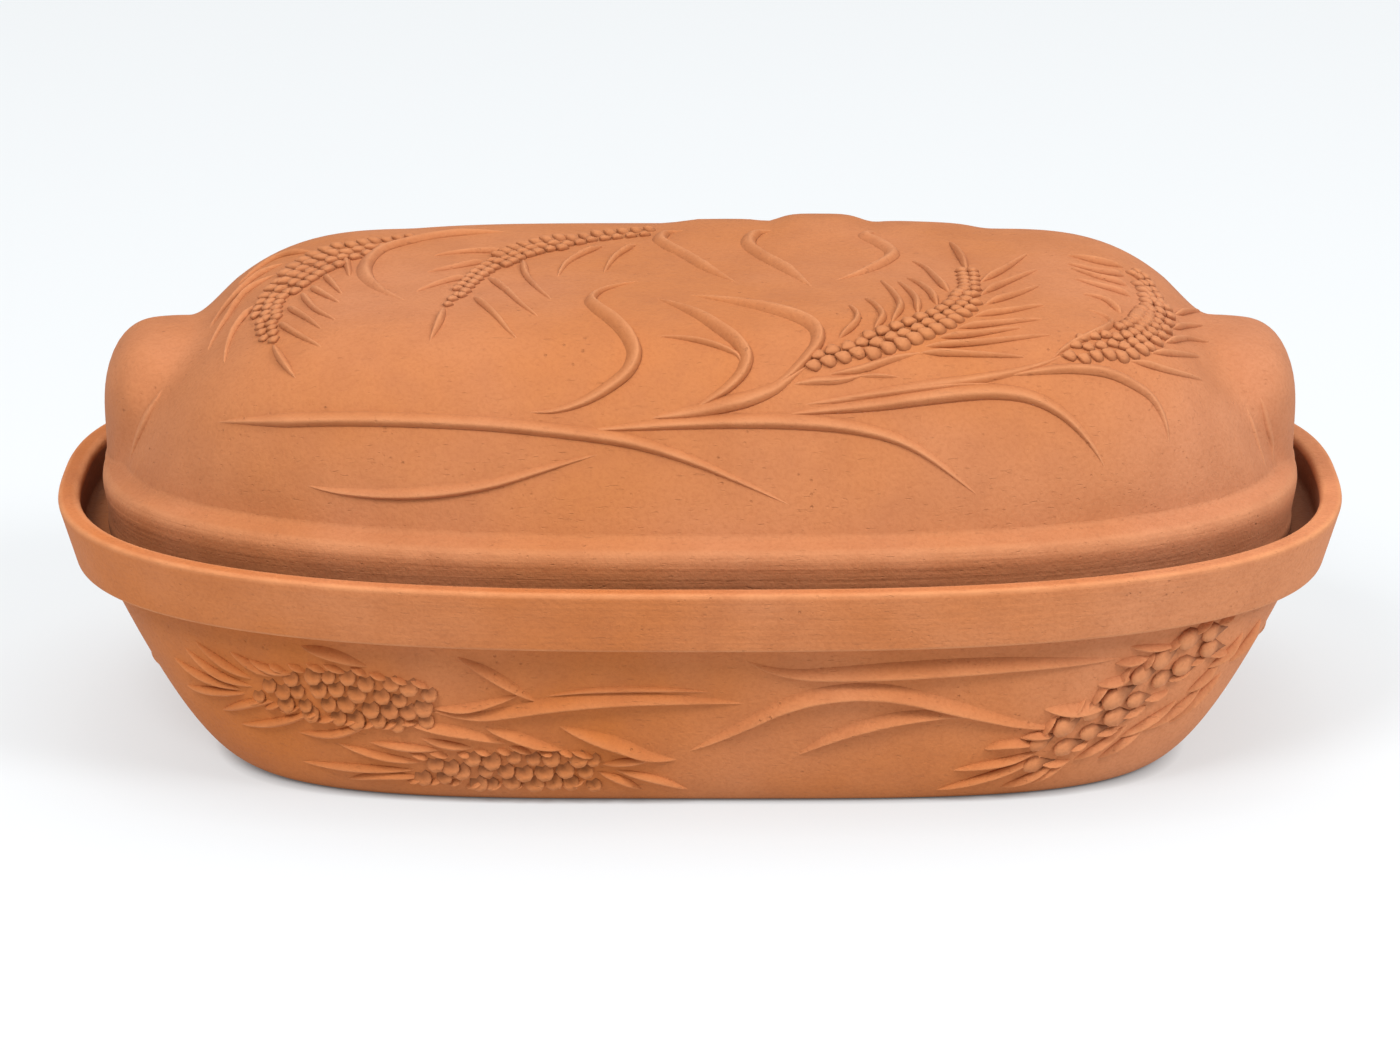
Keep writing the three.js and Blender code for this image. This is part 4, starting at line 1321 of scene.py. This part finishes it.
BASE_LEAVES: tuple[Ridge, ...] = (
    Ridge(drawn(-77, -67.6, -70, -68.8, -62, -69.2, -54, -68, -44, -66.2, -33, -64.9, -20, -64.2, -8, -64.4,
          4, -65, 14, -65.9), width=5.4, height=1.5, lean=-0.55),
    Ridge(drawn(-45, -64, -33, -62.4, -20, -61.8, -8, -62, 5, -62.8), width=3.0, height=0.7),
    Ridge(drawn(-76, -67, -67, -67, -58, -65, -50, -63), width=3.2, height=1.2, lean=-0.55),
    Ridge(drawn(-69, -52.4, -60, -56.8, -52, -61.6, -45.5, -65.6), width=4.0, height=1.3, lean=-0.55),
    Ridge(drawn(-113, -49.4, -104, -51.6, -93.5, -55.4), width=4.0, height=1.4, lean=-0.55),
    Ridge(drawn(-84, -71, -76, -72.2, -66, -73.8, -54, -77.2), width=4.0, height=1.4, lean=-0.55),
    Ridge(drawn(-61, -72.6, -52, -74.8, -44, -77.6, -38, -79), width=4.0, height=1.4, lean=-0.55),
    Ridge(drawn(-40, -72, -31, -74.8, -22, -77.6, -14, -80.6, -6, -81.7), width=5.4, height=1.5,
          lean=-0.55),
    Ridge(drawn(12, -53.4, 20, -56.2, 28, -57.4, 40, -57.2, 55, -56.4, 72, -55.4, 90, -54.5, 105, -53.9,
          120, -52.8), width=6.4, height=1.6, lean=-0.55),
    Ridge(drawn(-4, -79.6, 5, -75.5, 14, -71, 22, -67, 31, -64, 41, -62.4, 51, -62.4, 61, -64, 71, -66.6,
          81, -69.2, 90, -71.4, 98, -72.3, 106, -70.6), width=6.0, height=1.7, lean=-0.55),
    Ridge(drawn(27, -80.6, 34, -76.6, 43, -73, 53, -70.3, 63, -69, 72, -68.8, 80, -70), width=5.0,
          height=1.4, lean=-0.55),
    Ridge(drawn(80, -78.8, 86, -77.2, 96, -77.2), width=3.8, height=1.4),
    Ridge(drawn(97, -67.4, 106, -67.4, 117, -65.6), width=4.6, height=1.5, lean=-0.55),
    Ridge(drawn(112, -60.8, 117, -59.8, 122, -58.4), width=4.4, height=1.5),
    Ridge(drawn(117, -54.6, 122, -54, 127, -52.6), width=4.0, height=1.4),
    Ridge(drawn(121, -49.8, 128, -50.2, 135, -49.2), width=3.2, height=1.2),
)

BASE_END_LEAVES: tuple[Ridge, ...] = (
    Ridge(drawn(-40, -87, -31, -92, -21, -96, -9, -98), width=5.0, height=0.55, lean=-0.4),
    Ridge(drawn(-30, -101, -20, -99, -8, -100, 4, -102), width=5.0, height=0.55, lean=-0.4),
    Ridge(drawn(-14, -85, -5, -89, 3, -94, 9, -99), width=4.6, height=0.55, lean=-0.4),
    Ridge(drawn(31, -86, 23, -90, 15, -95, 9, -101), width=5.0, height=0.55, lean=0.4),
    Ridge(drawn(42, -97, 31, -97.5, 20, -100, 11, -103), width=4.6, height=0.55, lean=0.4),
    Ridge(drawn(4, -103, 6, -107, 10, -111, 16, -113), width=4.6, height=0.55, lean=0.3),
    Ridge(drawn(-2, -104, -8, -107, -17, -109, -27, -110), width=4.6, height=0.55, lean=-0.4),
)

BASE_EARS: tuple[Ear, ...] = (
    Ear(drawn(-75, -66.4, -85, -65.4, -95, -64.2, -105, -63, -115, -61.8, -125, -61),
        width=15.4, pitch=5.9, across=3.7, height=1.2, awn_width=3.4, slim_root=0.75, slim_tip=0.55,
        grain=(3.2, 2.75), fan=8.0, husk=5.0, awn_taper=Taper.LEAF, awn_share=0.9, unevenness=0.1,
        lead_width=3.4, slant=-62.0, scales=True,
        awns=(
            drawn(-126, -59, -131, -56.6, -137, -52.6, -143, -47.8),
            drawn(-126, -61.2, -136, -57.4, -146, -49.6), drawn(-129, -62, -140, -58.2, -149, -52.4),
            drawn(-128, -63, -136, -62.4, -145, -60.6), drawn(-120, -58.4, -126, -55.4, -133, -51),
            drawn(-115, -57.6, -121, -56.4, -128, -53.2), drawn(-108, -68, -119, -71, -130, -71.6),
            drawn(-92, -71.2, -103, -74.4, -114, -73.8), drawn(-120, -65.2, -127, -65.8, -135, -67.6),
        )),
    Ear(drawn(-28, -84.2, -42, -84.2, -56, -84.2, -70, -84.2, -80, -84.4),
        width=11.4, pitch=5.8, across=3.5, height=1.15, awn_width=3.4, slim_root=0.75, slim_tip=0.6,
        grain=(3.05, 2.65), fan=8.0, husk=4.6, awn_taper=Taper.LEAF, awn_share=0.9, unevenness=0.1,
        lead_width=3.4, slant=-66.0, scales=True,
        awns=(
            drawn(-78, -82.6, -90, -80.6, -103, -76.8), drawn(-80, -84.6, -95, -84, -113, -82),
            drawn(-78, -86.6, -90, -86, -100, -87), drawn(-73, -79, -84, -78, -94, -76.6),
            drawn(-64, -78.4, -71, -77.6, -79, -75.6), drawn(-29, -85, -22, -87.4, -16, -90.2),
            drawn(-24, -84.6, -12, -87.2, -3, -90.2), drawn(-28, -83, -20, -82.2, -12, -81.2),
        )),
    Ear(drawn(92, -81, 99, -77.6, 105, -74.2, 111, -70.4, 117, -66.4, 122, -62.6, 127.5, -58.4, 133, -54,
              139, -50, 147, -46.6),
        width=9.6, pitch=8.2, across=4.6, height=1.6, awn_width=3.2, slim_root=0.9, slim_tip=0.9,
        grain=(4.4, 3.2), fan=10.0, husk=7.0, awn_taper=Taper.LEAF, awn_share=0.8, unevenness=0.08,
        lead_width=3.4, slant=-12.0, tilt=9.0,
        awns=(
            drawn(96, -79, 88, -81.6, 80, -83.2, 71, -84.8),
            drawn(97, -80.4, 88, -84, 78, -87.2, 66, -90.4), drawn(101, -82, 93, -86.4, 84, -89.6),
            drawn(104, -81.6, 98, -85, 91, -88.8), drawn(100, -75, 95, -74.8, 90, -75.6),
            drawn(105, -82, 112, -78, 121, -71.6), drawn(112, -81.6, 120, -76, 127.5, -70),
            drawn(118, -75.6, 126, -71, 135, -64.6), drawn(124, -74, 135, -66.6, 142.5, -59.6),
            drawn(132, -71.6, 140, -64, 147.5, -56.6), drawn(137, -63, 142, -58.6, 147, -52.6),
            drawn(143, -56, 149, -51, 153.5, -45.4), drawn(149, -54.4, 154, -48, 158.5, -41.4),
        )),
)


@dataclass(frozen=True)
class Swell:
    """A soft rise of the lid's outline: a broad low leaf over the crown, or one of the lid's shoulders."""

    FLANK_POWER: ClassVar[float] = 1.5
    END_POWER: ClassVar[int] = 2

    middle: float
    half_width: float
    height: float
    back: float = 0.056
    half_length: float = 0.046
    edge_power: float = 4.0

    def rise(self, points: np.ndarray) -> np.ndarray:
        """How far it lifts points of the crown, in metres."""
        across = np.clip(np.abs(points[:, 0] - self.middle) / self.half_width, 0.0, 1.0)
        along = np.clip(np.abs(points[:, 1] - self.back) / self.half_length, 0.0, 1.0)
        flank = (1 - across**self.edge_power) ** self.FLANK_POWER
        return self.height * flank * (1 - along**2) ** self.END_POWER


@dataclass
class ClayBody:
    """What the base and the lid share: plan, clay, view and trees."""

    plan: RimPlan
    clay: bpy.types.Material
    view: Viewpoint
    ridges: RidgeTree
    grains: GrainTree

    def finish(
        self, shell: bpy.types.Object, relief: WheatRelief, body: str, slot: str, node: str
    ) -> list[bpy.types.Object]:
        """Raises the relief, gives the shell its clay, ties each piece to its body and hides the solid that
        the shell stands for.

        Args:
            shell: The finished shell.
            relief: The wheat that is laid on it.
            body: Moving body that the pieces ride on.
            slot: Not used.
            node: Solid that the shell stands for.

        Returns:
            The shell, the leaves and the grains.
        """
        shell.data.materials.append(self.clay)
        blades = relief.build_ridges(f"{node}_leaves", self.ridges, self.clay)
        kernels = relief.build_grains(f"{node}_grains", self.grains, self.clay)
        pieces = [shell, blades, kernels]
        for piece in pieces:
            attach(piece, body)
            if piece is shell:
                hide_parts(node)
            log.info("%s: %d faces", piece.name, len(piece.data.polygons))
        return pieces


@dataclass
class BakerBase(ClayBody):
    """The boat-shaped dish with its flared collar, ledge and wheat relief.

    The bore's draft counts twice: down to where the painted shade starts, and from there down to the ledge.
    """

    height: float = 0.070
    collar_height: float = 0.018
    collar_draft: float = 0.005
    collar_overhang: float = 0.0065
    rim_thickness: float = 0.0063
    bore_draft: float = 0.0003
    ledge_depth: float = 0.011
    shade_start: float = 0.35
    underside_length: float = 0.256
    underside_width: float = 0.148
    underside_power: float = 3.9
    bilge_roundness: float = 1.1
    wall: float = 0.007
    floor: float = 0.008
    wall_steps: int = 34
    floor_steps: int = 8

    def build(self) -> list[bpy.types.Object]:
        """Makes the shell, its ridges and its grains.

        Returns:
            The pieces of the base.
        """
        shell = self.build_shell()
        relief = WheatRelief(
            shell, self.view, tip=0.85, tip_lift=-0.85, swell_power=0.5, hollow=0.9, crease=0.6, spread=0.17,
            widest_turn=math.radians(85.0), crispness=0.6, height_gain=1.75, seed=23,
        )
        for side in (Side.FRONT, Side.BACK):
            for leaf in BASE_LEAVES:
                relief.add_ridge(leaf, side)
            for ear in BASE_EARS:
                relief.add_ear(ear, side)
        for side in (Side.LEFT, Side.RIGHT):
            for leaf in BASE_END_LEAVES:
                relief.add_ridge(leaf, side)
        return self.finish(shell, relief, "dish", "base_clay", "base")

    def build_shell(self) -> bpy.types.Object:
        """Lofts the dish from its underside, over the rim, to the floor inside.

        Returns:
            The shell.
        """
        collar_foot = self.height - self.collar_height
        ledge = self.height - self.ledge_depth
        shade_top = self.height - self.ledge_depth * self.shade_start
        bore = self.rim_thickness
        wall_inset = self.collar_draft + self.collar_overhang
        underside = self._underside(0.0, 0.0)
        floor = self._underside(self.wall, self.floor)
        collar = [
            Corner(wall_inset, collar_foot),
            # The worn marks on these edges are partly wear and partly painted highlight along them.
            Corner(self.collar_draft, collar_foot, round_off=0.0011, wear_and_highlight=1.0, tooled=0.6),
            Corner(0.0, self.height, round_off=0.0019, wear_and_highlight=1.0, tooled=1.0),
            Corner(bore, self.height, round_off=0.0024, wear_and_highlight=1.0, tooled=0.5),
            # The shade marks paint shade down the bore and on the ledge, in the gap round the lid's skirt.
            Corner(bore + self.bore_draft, shade_top, round_off=0.001, tooled=0.3, shade=0.6),
            Corner(bore + 2 * self.bore_draft, ledge, round_off=0.0015, tooled=0.3, shade=0.7),
            Corner(wall_inset + self.wall, ledge, shade=0.2),
        ]
        rings = [
            *self._flat(underside),
            *self._wall(underside, self.plan.ring(wall_inset, collar_foot)),
            *self.plan.section(collar)[1:],
            *self._wall(floor, self.plan.ring(wall_inset + self.wall, ledge))[::-1][1:],
            *self._flat(floor)[::-1],
        ]
        angles = self.plan.angles()
        rows = np.stack([r.ring.points(angles) for r in rings])
        poles = (Vector((0.0, 0.0, 0.0)), Vector((0.0, 0.0, self.floor)))
        return lofted("base_shell", rows, poles, rings)

    def _underside(self, inset: float, z: float) -> Ring:
        """The flat underside's plan, drawn in by an inset for the floor inside."""
        half_length, half_width = self.underside_length / 2 - inset, self.underside_width / 2 - inset
        return Ring(half_length, half_width, self.underside_power, z)

    def _flat(self, edge: Ring) -> list[RingPoint]:
        """Rings across a flat, from its middle out towards its edge."""
        shares = np.arange(1, self.floor_steps) / self.floor_steps
        return [
            RingPoint(Ring(edge.half_length * s, edge.half_width * s, edge.power, edge.z)) for s in shares
        ]

    def _wall(self, foot: Ring, top: Ring) -> list[RingPoint]:
        """The wall between two rings: rounded at the bilge, then nearly straight.

        Args:
            foot: Ring at the foot of the wall.
            top: Ring at its top.

        Returns:
            The wall's rings, upwards.
        """
        rings = []
        for k in range(self.wall_steps + 1):
            share = k / self.wall_steps
            reach = share * share * (1 + 2 * self.bilge_roundness)
            rise = math.sqrt(self.bilge_roundness**2 + reach) - self.bilge_roundness
            rings.append(RingPoint(foot.mixed(top, share, foot.z + (top.z - foot.z) * rise)))
        return rings


@dataclass
class BakerLid(ClayBody):
    """The domed lid with its skirt, flared shoulder, two lugs and wheat relief.

    Lugs can reach no further in than the zone's count of noses. The dome's rings lie closest together at the
    lug level.
    """

    FINE_STEPS: ClassVar[int] = 6001
    FIRST_RING: ClassVar[float] = 0.03
    HALVINGS: ClassVar[int] = 34
    LEAST_REACH: ClassVar[float] = 1e-4
    LEAST_STEEP: ClassVar[float] = 1e-6
    LUG_ZONE: ClassVar[int] = 3
    OVERSHOOT: ClassVar[float] = 0.5

    overall_height: float = 0.1296
    rim_thickness: float = 0.0063
    side_gap: float = 0.006
    seat_height: float = 0.0593
    wall: float = 0.007
    skirt_draft: float = 0.0015
    skirt_lean: float = 0.0004
    shade_height: float = 0.0055
    shoulder_height: float = 0.0766
    flare_width: float = 0.0065
    flare_height: float = 0.004
    flare_power: float = 1.8
    flare_start: float = 0.6
    flare_steps: int = 9
    dome_power: float = 6.4
    crown_power: float = 4.4
    lug_span: float = 0.334
    lug_top: float = 0.1130
    lug_nose: float = 0.018
    lug_height: float = 0.0295
    lug_half_width: float = 0.031
    lug_fillet: float = 0.006
    lug_powers: Triple = (2.8, 2.2, 3.2)
    lug_tuck: float = 0.0004
    lug_narrowing: float = 0.004
    lug_crease: float = 0.0022
    lug_taper_height: float = 0.020
    lug_level: float = 0.1105
    lug_level_spread: float = 0.0035
    lug_level_weight: float = 7.0
    saddle_dip: float = 0.0014
    swell_level: float = 0.100
    swell_fade: float = 0.014
    swells: tuple[Swell, ...] = (
        Swell(0.0064, 0.0155, 0.0013),
        Swell(0.0344, 0.0155, 0.0029),
        Swell(0.064, 0.018, 0.0010),
        Swell(0.117, 0.036, 0.0033, back=0.03, half_length=0.065, edge_power=2.0),
        Swell(-0.117, 0.036, 0.0027, back=0.03, half_length=0.065, edge_power=2.0),
    )
    outside_steps: int = 96
    inside_steps: int = 40

    def build(self) -> list[bpy.types.Object]:
        """Makes the shell, its ridges and its grains.

        Returns:
            The pieces of the lid.
        """
        shell = self.build_shell()
        relief = WheatRelief(shell, self.view)
        for leaf in (*LID_LEAVES, *CROWN_LEAVES, *LUG_CREASES):
            relief.add_ridge(leaf)
        for leaf in (*LUG_CREASES, *(LID_LEAVES[index] for index in BACK_OF_LID), *CROWN_BACK_LEAVES):
            relief.add_ridge(leaf, Side.BACK)
        for ear in LID_EARS:
            relief.add_ear(ear)
        return self.finish(shell, relief, "cover", "lid_clay", "lid")

    def build_shell(self) -> bpy.types.Object:
        """Lofts the lid from the crown's underside, round the foot, to the crown.

        Returns:
            The shell.
        """
        skirt = self.rim_thickness + self.side_gap
        foot = skirt + self.skirt_draft
        inner_foot = foot + self.wall
        shade_top = self.seat_height + self.shade_height
        flare_z = self.shoulder_height + self.flare_height * self.flare_start
        inside = [RingPoint(self._ring_at(z, self.wall)) for z in self._levels(self.wall, self.inside_steps)]
        edge = [
            Corner(inner_foot, inside[-1].ring.z),
            Corner(inner_foot, self.seat_height, round_off=0.002),
            # The shade marks paint shade on the skirt's foot, down in the gap inside the base's collar.
            Corner(foot, self.seat_height, round_off=0.002, tooled=0.5, shade=0.5),
            Corner(foot + self.skirt_lean, shade_top, round_off=0.002, tooled=1.0, shade=0.1),
            # Paler shoulder edge: partly wear, partly painted highlight.
            Corner(skirt, self.shoulder_height, round_off=0.0042, wear_and_highlight=0.45, tooled=1.0),
            Corner(self._flare_inset(flare_z), flare_z, wear_and_highlight=0.1, tooled=0.4),
        ]
        flare = [
            RingPoint(self._ring_at(z, 0.0), tooled=0.3)
            for z in np.linspace(flare_z, self._foot_z(), self.flare_steps)
        ]
        outside = [RingPoint(self._ring_at(z, 0.0)) for z in self._levels(0.0, self.outside_steps)[::-1]]
        outer = [*self.plan.section(edge)[1:-1], *flare[:-1], *outside]
        angles = self.plan.angles()
        rows = [self._lugged(r.ring.points(angles), self.wall) for r in inside]
        rows += [self._swelled(self._lugged(r.ring.points(angles), 0.0)) for r in outer]
        crown = self._swelled(np.array([[0.0, 0.0, self.overall_height]]))[0]
        poles = (Vector((0.0, 0.0, self.overall_height - self.wall)), Vector(crown))
        return lofted("lid_shell", np.stack(rows), poles, [*inside, *outer])

    def _swelled(self, points: np.ndarray) -> np.ndarray:
        """Lifts a ring's points where broad leaves and the shoulders swell the outer skin.

        Args:
            points: Points of a ring of the outer skin.

        Returns:
            The lifted points.
        """
        high = np.clip((points[:, 2] - self.swell_level) / self.swell_fade, 0.0, 1.0)
        lifted = points.copy()
        lifted[:, 2] += sum(swell.rise(points) for swell in self.swells) * high
        return lifted

    def _foot_z(self) -> float:
        """Height of the dome's foot above the flare."""
        return self.shoulder_height + self.flare_height

    def _flare_inset(self, z: float) -> float:
        """Inset of the concave flare at a height."""
        share = min(1.0, max(0.0, (self._foot_z() - z) / self.flare_height))
        return self.rim_thickness + self.side_gap + self.flare_width * (1 - share**self.flare_power)

    def _levels(self, inset: float, count: int) -> np.ndarray:
        """Heights of the dome's rings, even along its end and closer at the top of the lugs.

        Args:
            inset: How far the skin lies inside the outer one.
            count: Number of rings.

        Returns:
            Heights from just under the crown down to the dome's foot.
        """
        shares = np.linspace(0.0, 1.0, self.FINE_STEPS)
        crown = self.overall_height - inset
        z = crown - (crown - self._foot_z()) * shares**self.dome_power
        x = shares * (self.plan.length / 2 - self._flare_inset(self._foot_z()) - inset)
        near = np.exp(-(((z + inset - self.lug_level) / self.lug_level_spread) ** 2))
        runs = summed(np.hypot(np.diff(x), np.diff(z)) * (1 + self.lug_level_weight * near[1:]))
        picked = np.interp(np.linspace(self.FIRST_RING, 1.0, count) * runs[-1], runs, shares)
        return crown - (crown - self._foot_z()) * picked**self.dome_power

    def _dome_foot(self, inset: float) -> Ring:
        """The ring that the dome stands on."""
        return self.plan.ring(self._flare_inset(self._foot_z()) + inset, self._foot_z())

    def _ring_at(self, z: float, inset: float) -> Ring:
        """The ring of the lid's skin at a height above the shoulder.

        Args:
            z: Height.
            inset: How far the skin lies inside the outer one.

        Returns:
            The ring: of the flare below the dome's foot, of the dome above it.
        """
        if z < self._foot_z():
            return self.plan.ring(self._flare_inset(z) + inset, z)
        foot = self._dome_foot(inset)
        crown = self.overall_height - inset
        steep = max(0.0, (crown - z) / (crown - foot.z))
        share = steep ** (1 / self.dome_power)
        power = self.crown_power + (foot.power - self.crown_power) * steep
        return Ring(foot.half_length * share, foot.half_width * share, power, z)

    def _dome_gap(self, points: np.ndarray, inset: float) -> np.ndarray:
        """How far points lie outside the dome, about in metres near its ends.

        Args:
            points: Points, one row each.
            inset: How far the skin lies inside the outer one.

        Returns:
            The gaps, negative inside.
        """
        crown = self.overall_height - inset
        foot = self._dome_foot(inset)
        steep = np.clip((crown - points[:, 2]) / (crown - foot.z), self.LEAST_STEEP, 1.0)
        share = steep ** (1 / self.dome_power)
        power = self.crown_power + (foot.power - self.crown_power) * steep
        low = np.clip((self._foot_z() - points[:, 2]) / self.flare_height, 0.0, 1.0) ** self.flare_power
        halves = [half * share + self.flare_width * low for half in (foot.half_length, foot.half_width)]
        parts = [np.abs(points[:, axis] / half) ** power for axis, half in enumerate(halves)]
        return ((parts[0] + parts[1]) ** (1 / power) - 1) * halves[0]

    def _lug_gap(self, points: np.ndarray, inset: float) -> np.ndarray:
        """How far points lie outside the lugs' rounded noses, about in metres.

        Args:
            points: Points, one row each.
            inset: How far the skin lies inside the outer one.

        Returns:
            The gaps, negative inside.
        """
        reach = np.abs(points[:, 0])
        foot = self._lug_foot(points)
        start = self.lug_span / 2 - self.lug_nose
        step = np.clip((reach - (start - self.lug_nose)) / self.lug_nose, 0.0, 1.0)
        dip = self.saddle_dip * (1 - eased(step))
        out = np.maximum(0.0, reach - start) / (self.lug_nose - self.lug_tuck * foot - inset)
        aside = np.abs(points[:, 1]) / (self.lug_half_width - self.lug_narrowing * foot - inset)
        up = np.maximum(0.0, points[:, 2] - self.lug_top + self.lug_height) / (self.lug_height - inset - dip)
        size = sum(part**power for part, power in zip((out, aside, up), self.lug_powers))
        return (size ** (1 / self.lug_powers[0]) - 1) * self.lug_nose

    def _lug_foot(self, points: np.ndarray) -> np.ndarray:
        """How near points lie to the lugs' feet: 1 at the flare, 0 above the taper."""
        above = self._foot_z() + self.lug_taper_height - points[:, 2]
        return eased(np.clip(above / self.lug_taper_height, 0.0, 1.0))

    def _gap(self, points: np.ndarray, inset: float) -> np.ndarray:
        """How far points lie outside the lid, with the lugs run into the dome by a fillet."""
        dome, lug = self._dome_gap(points, inset), self._lug_gap(points, inset)
        fillet = self.lug_fillet + (self.lug_crease - self.lug_fillet) * self._lug_foot(points)
        share = np.clip(0.5 + (dome - lug) / (2 * fillet), 0.0, 1.0)
        return dome + (lug - dome) * share - fillet * share * (1 - share)

    def _lugged(self, points: np.ndarray, inset: float) -> np.ndarray:
        """Moves a ring's points out from the lid's middle until they leave the lugs.

        Args:
            points: Points of a ring.
            inset: How far the skin lies inside the outer one.

        Returns:
            The points on the lid's skin.
        """
        middle = np.array([0.0, 0.0, self.shoulder_height])
        if points[0, 2] <= middle[2]:
            return points
        near_lug = np.abs(points[:, 0]) > self.lug_span / 2 - self.LUG_ZONE * self.lug_nose
        moved = near_lug & (self._gap(points, inset) < 0)
        inside = points.copy()
        reach = self.lug_span / 2 / np.maximum(np.abs(points[:, :1]), self.LEAST_REACH) + self.OVERSHOOT
        outside = middle + (points - middle) * reach
        for _ in range(self.HALVINGS):
            half = (inside + outside) / 2
            within = (self._gap(half, inset) < 0)[:, None]
            inside, outside = np.where(within, half, inside), np.where(within, outside, half)
        return np.where(moved[:, None], inside, points)


@dataclass(frozen=True)
class Studio:
    """The plain floor, the soft light and the camera."""

    view: Viewpoint = Viewpoint()
    floor: PaleFloor = PaleFloor()
    lamps: tuple[SoftLamp, ...] = (
        SoftLamp("top_lamp", place=(0.2, 0.3, 2.6), aim=(0.0, 0.0, 0.05), size=2.0, watts=21.5),
        SoftLamp("key_lamp", place=(1.75, -1.25, 1.7), aim=(0.0, 0.0, 0.08), size=0.7, watts=40.5),
        SoftLamp("front_lamp", place=(-1.05, -1.55, 2.1), aim=(0.0, 0.0, 0.06), size=1.0, watts=45.5),
    )
    sky: float = 0.49

    def build(self) -> None:
        """Makes the floor, lamps, pale surroundings and camera."""
        self.floor.build()
        for lamp in self.lamps:
            lamp.build()
        world = bpy.data.worlds.new("soft_surroundings")
        world.use_nodes = True
        background = world.node_tree.nodes["Background"].inputs
        background["Color"].default_value = (1.0, 1.0, 1.0, 1.0)
        background["Strength"].default_value = self.sky
        scene = bpy.context.scene
        scene.world = world
        scene.view_settings.view_transform = "Standard"
        self.view.build_camera()


def main() -> None:
    """Builds the studio, the base and the lid, and reports each piece."""
    logging.basicConfig(level=logging.INFO, format="%(message)s")
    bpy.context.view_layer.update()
    studio = Studio()
    studio.build()
    # Base and lid are of one clay: the two copies differ in tone only to stand in for how each piece is lit,
    # painted light and shade.
    base_clay = Terracotta(
        "base_terracotta", body=(0.5, 0.148, 0.029), rosy=(0.578, 0.219, 0.092), deep=(0.35, 0.092, 0.019),
        wear_and_highlight=(0.62, 0.255, 0.105),
    )
    lid_clay = Terracotta(
        "lid_terracotta", body=(0.455, 0.156, 0.047), rosy=(0.497, 0.193, 0.088), deep=(0.325, 0.094, 0.025),
        wear_and_highlight=(0.59, 0.26, 0.12),
    )
    plan, ridges, grains = RimPlan(), RidgeTree(), GrainTree()
    pieces = BakerBase(plan, base_clay.material(), studio.view, ridges, grains).build()
    pieces += BakerLid(plan, lid_clay.material(), studio.view, ridges, grains).build()
    log.info("%d pieces", len(pieces))


if __name__ == "__main__":
    main()
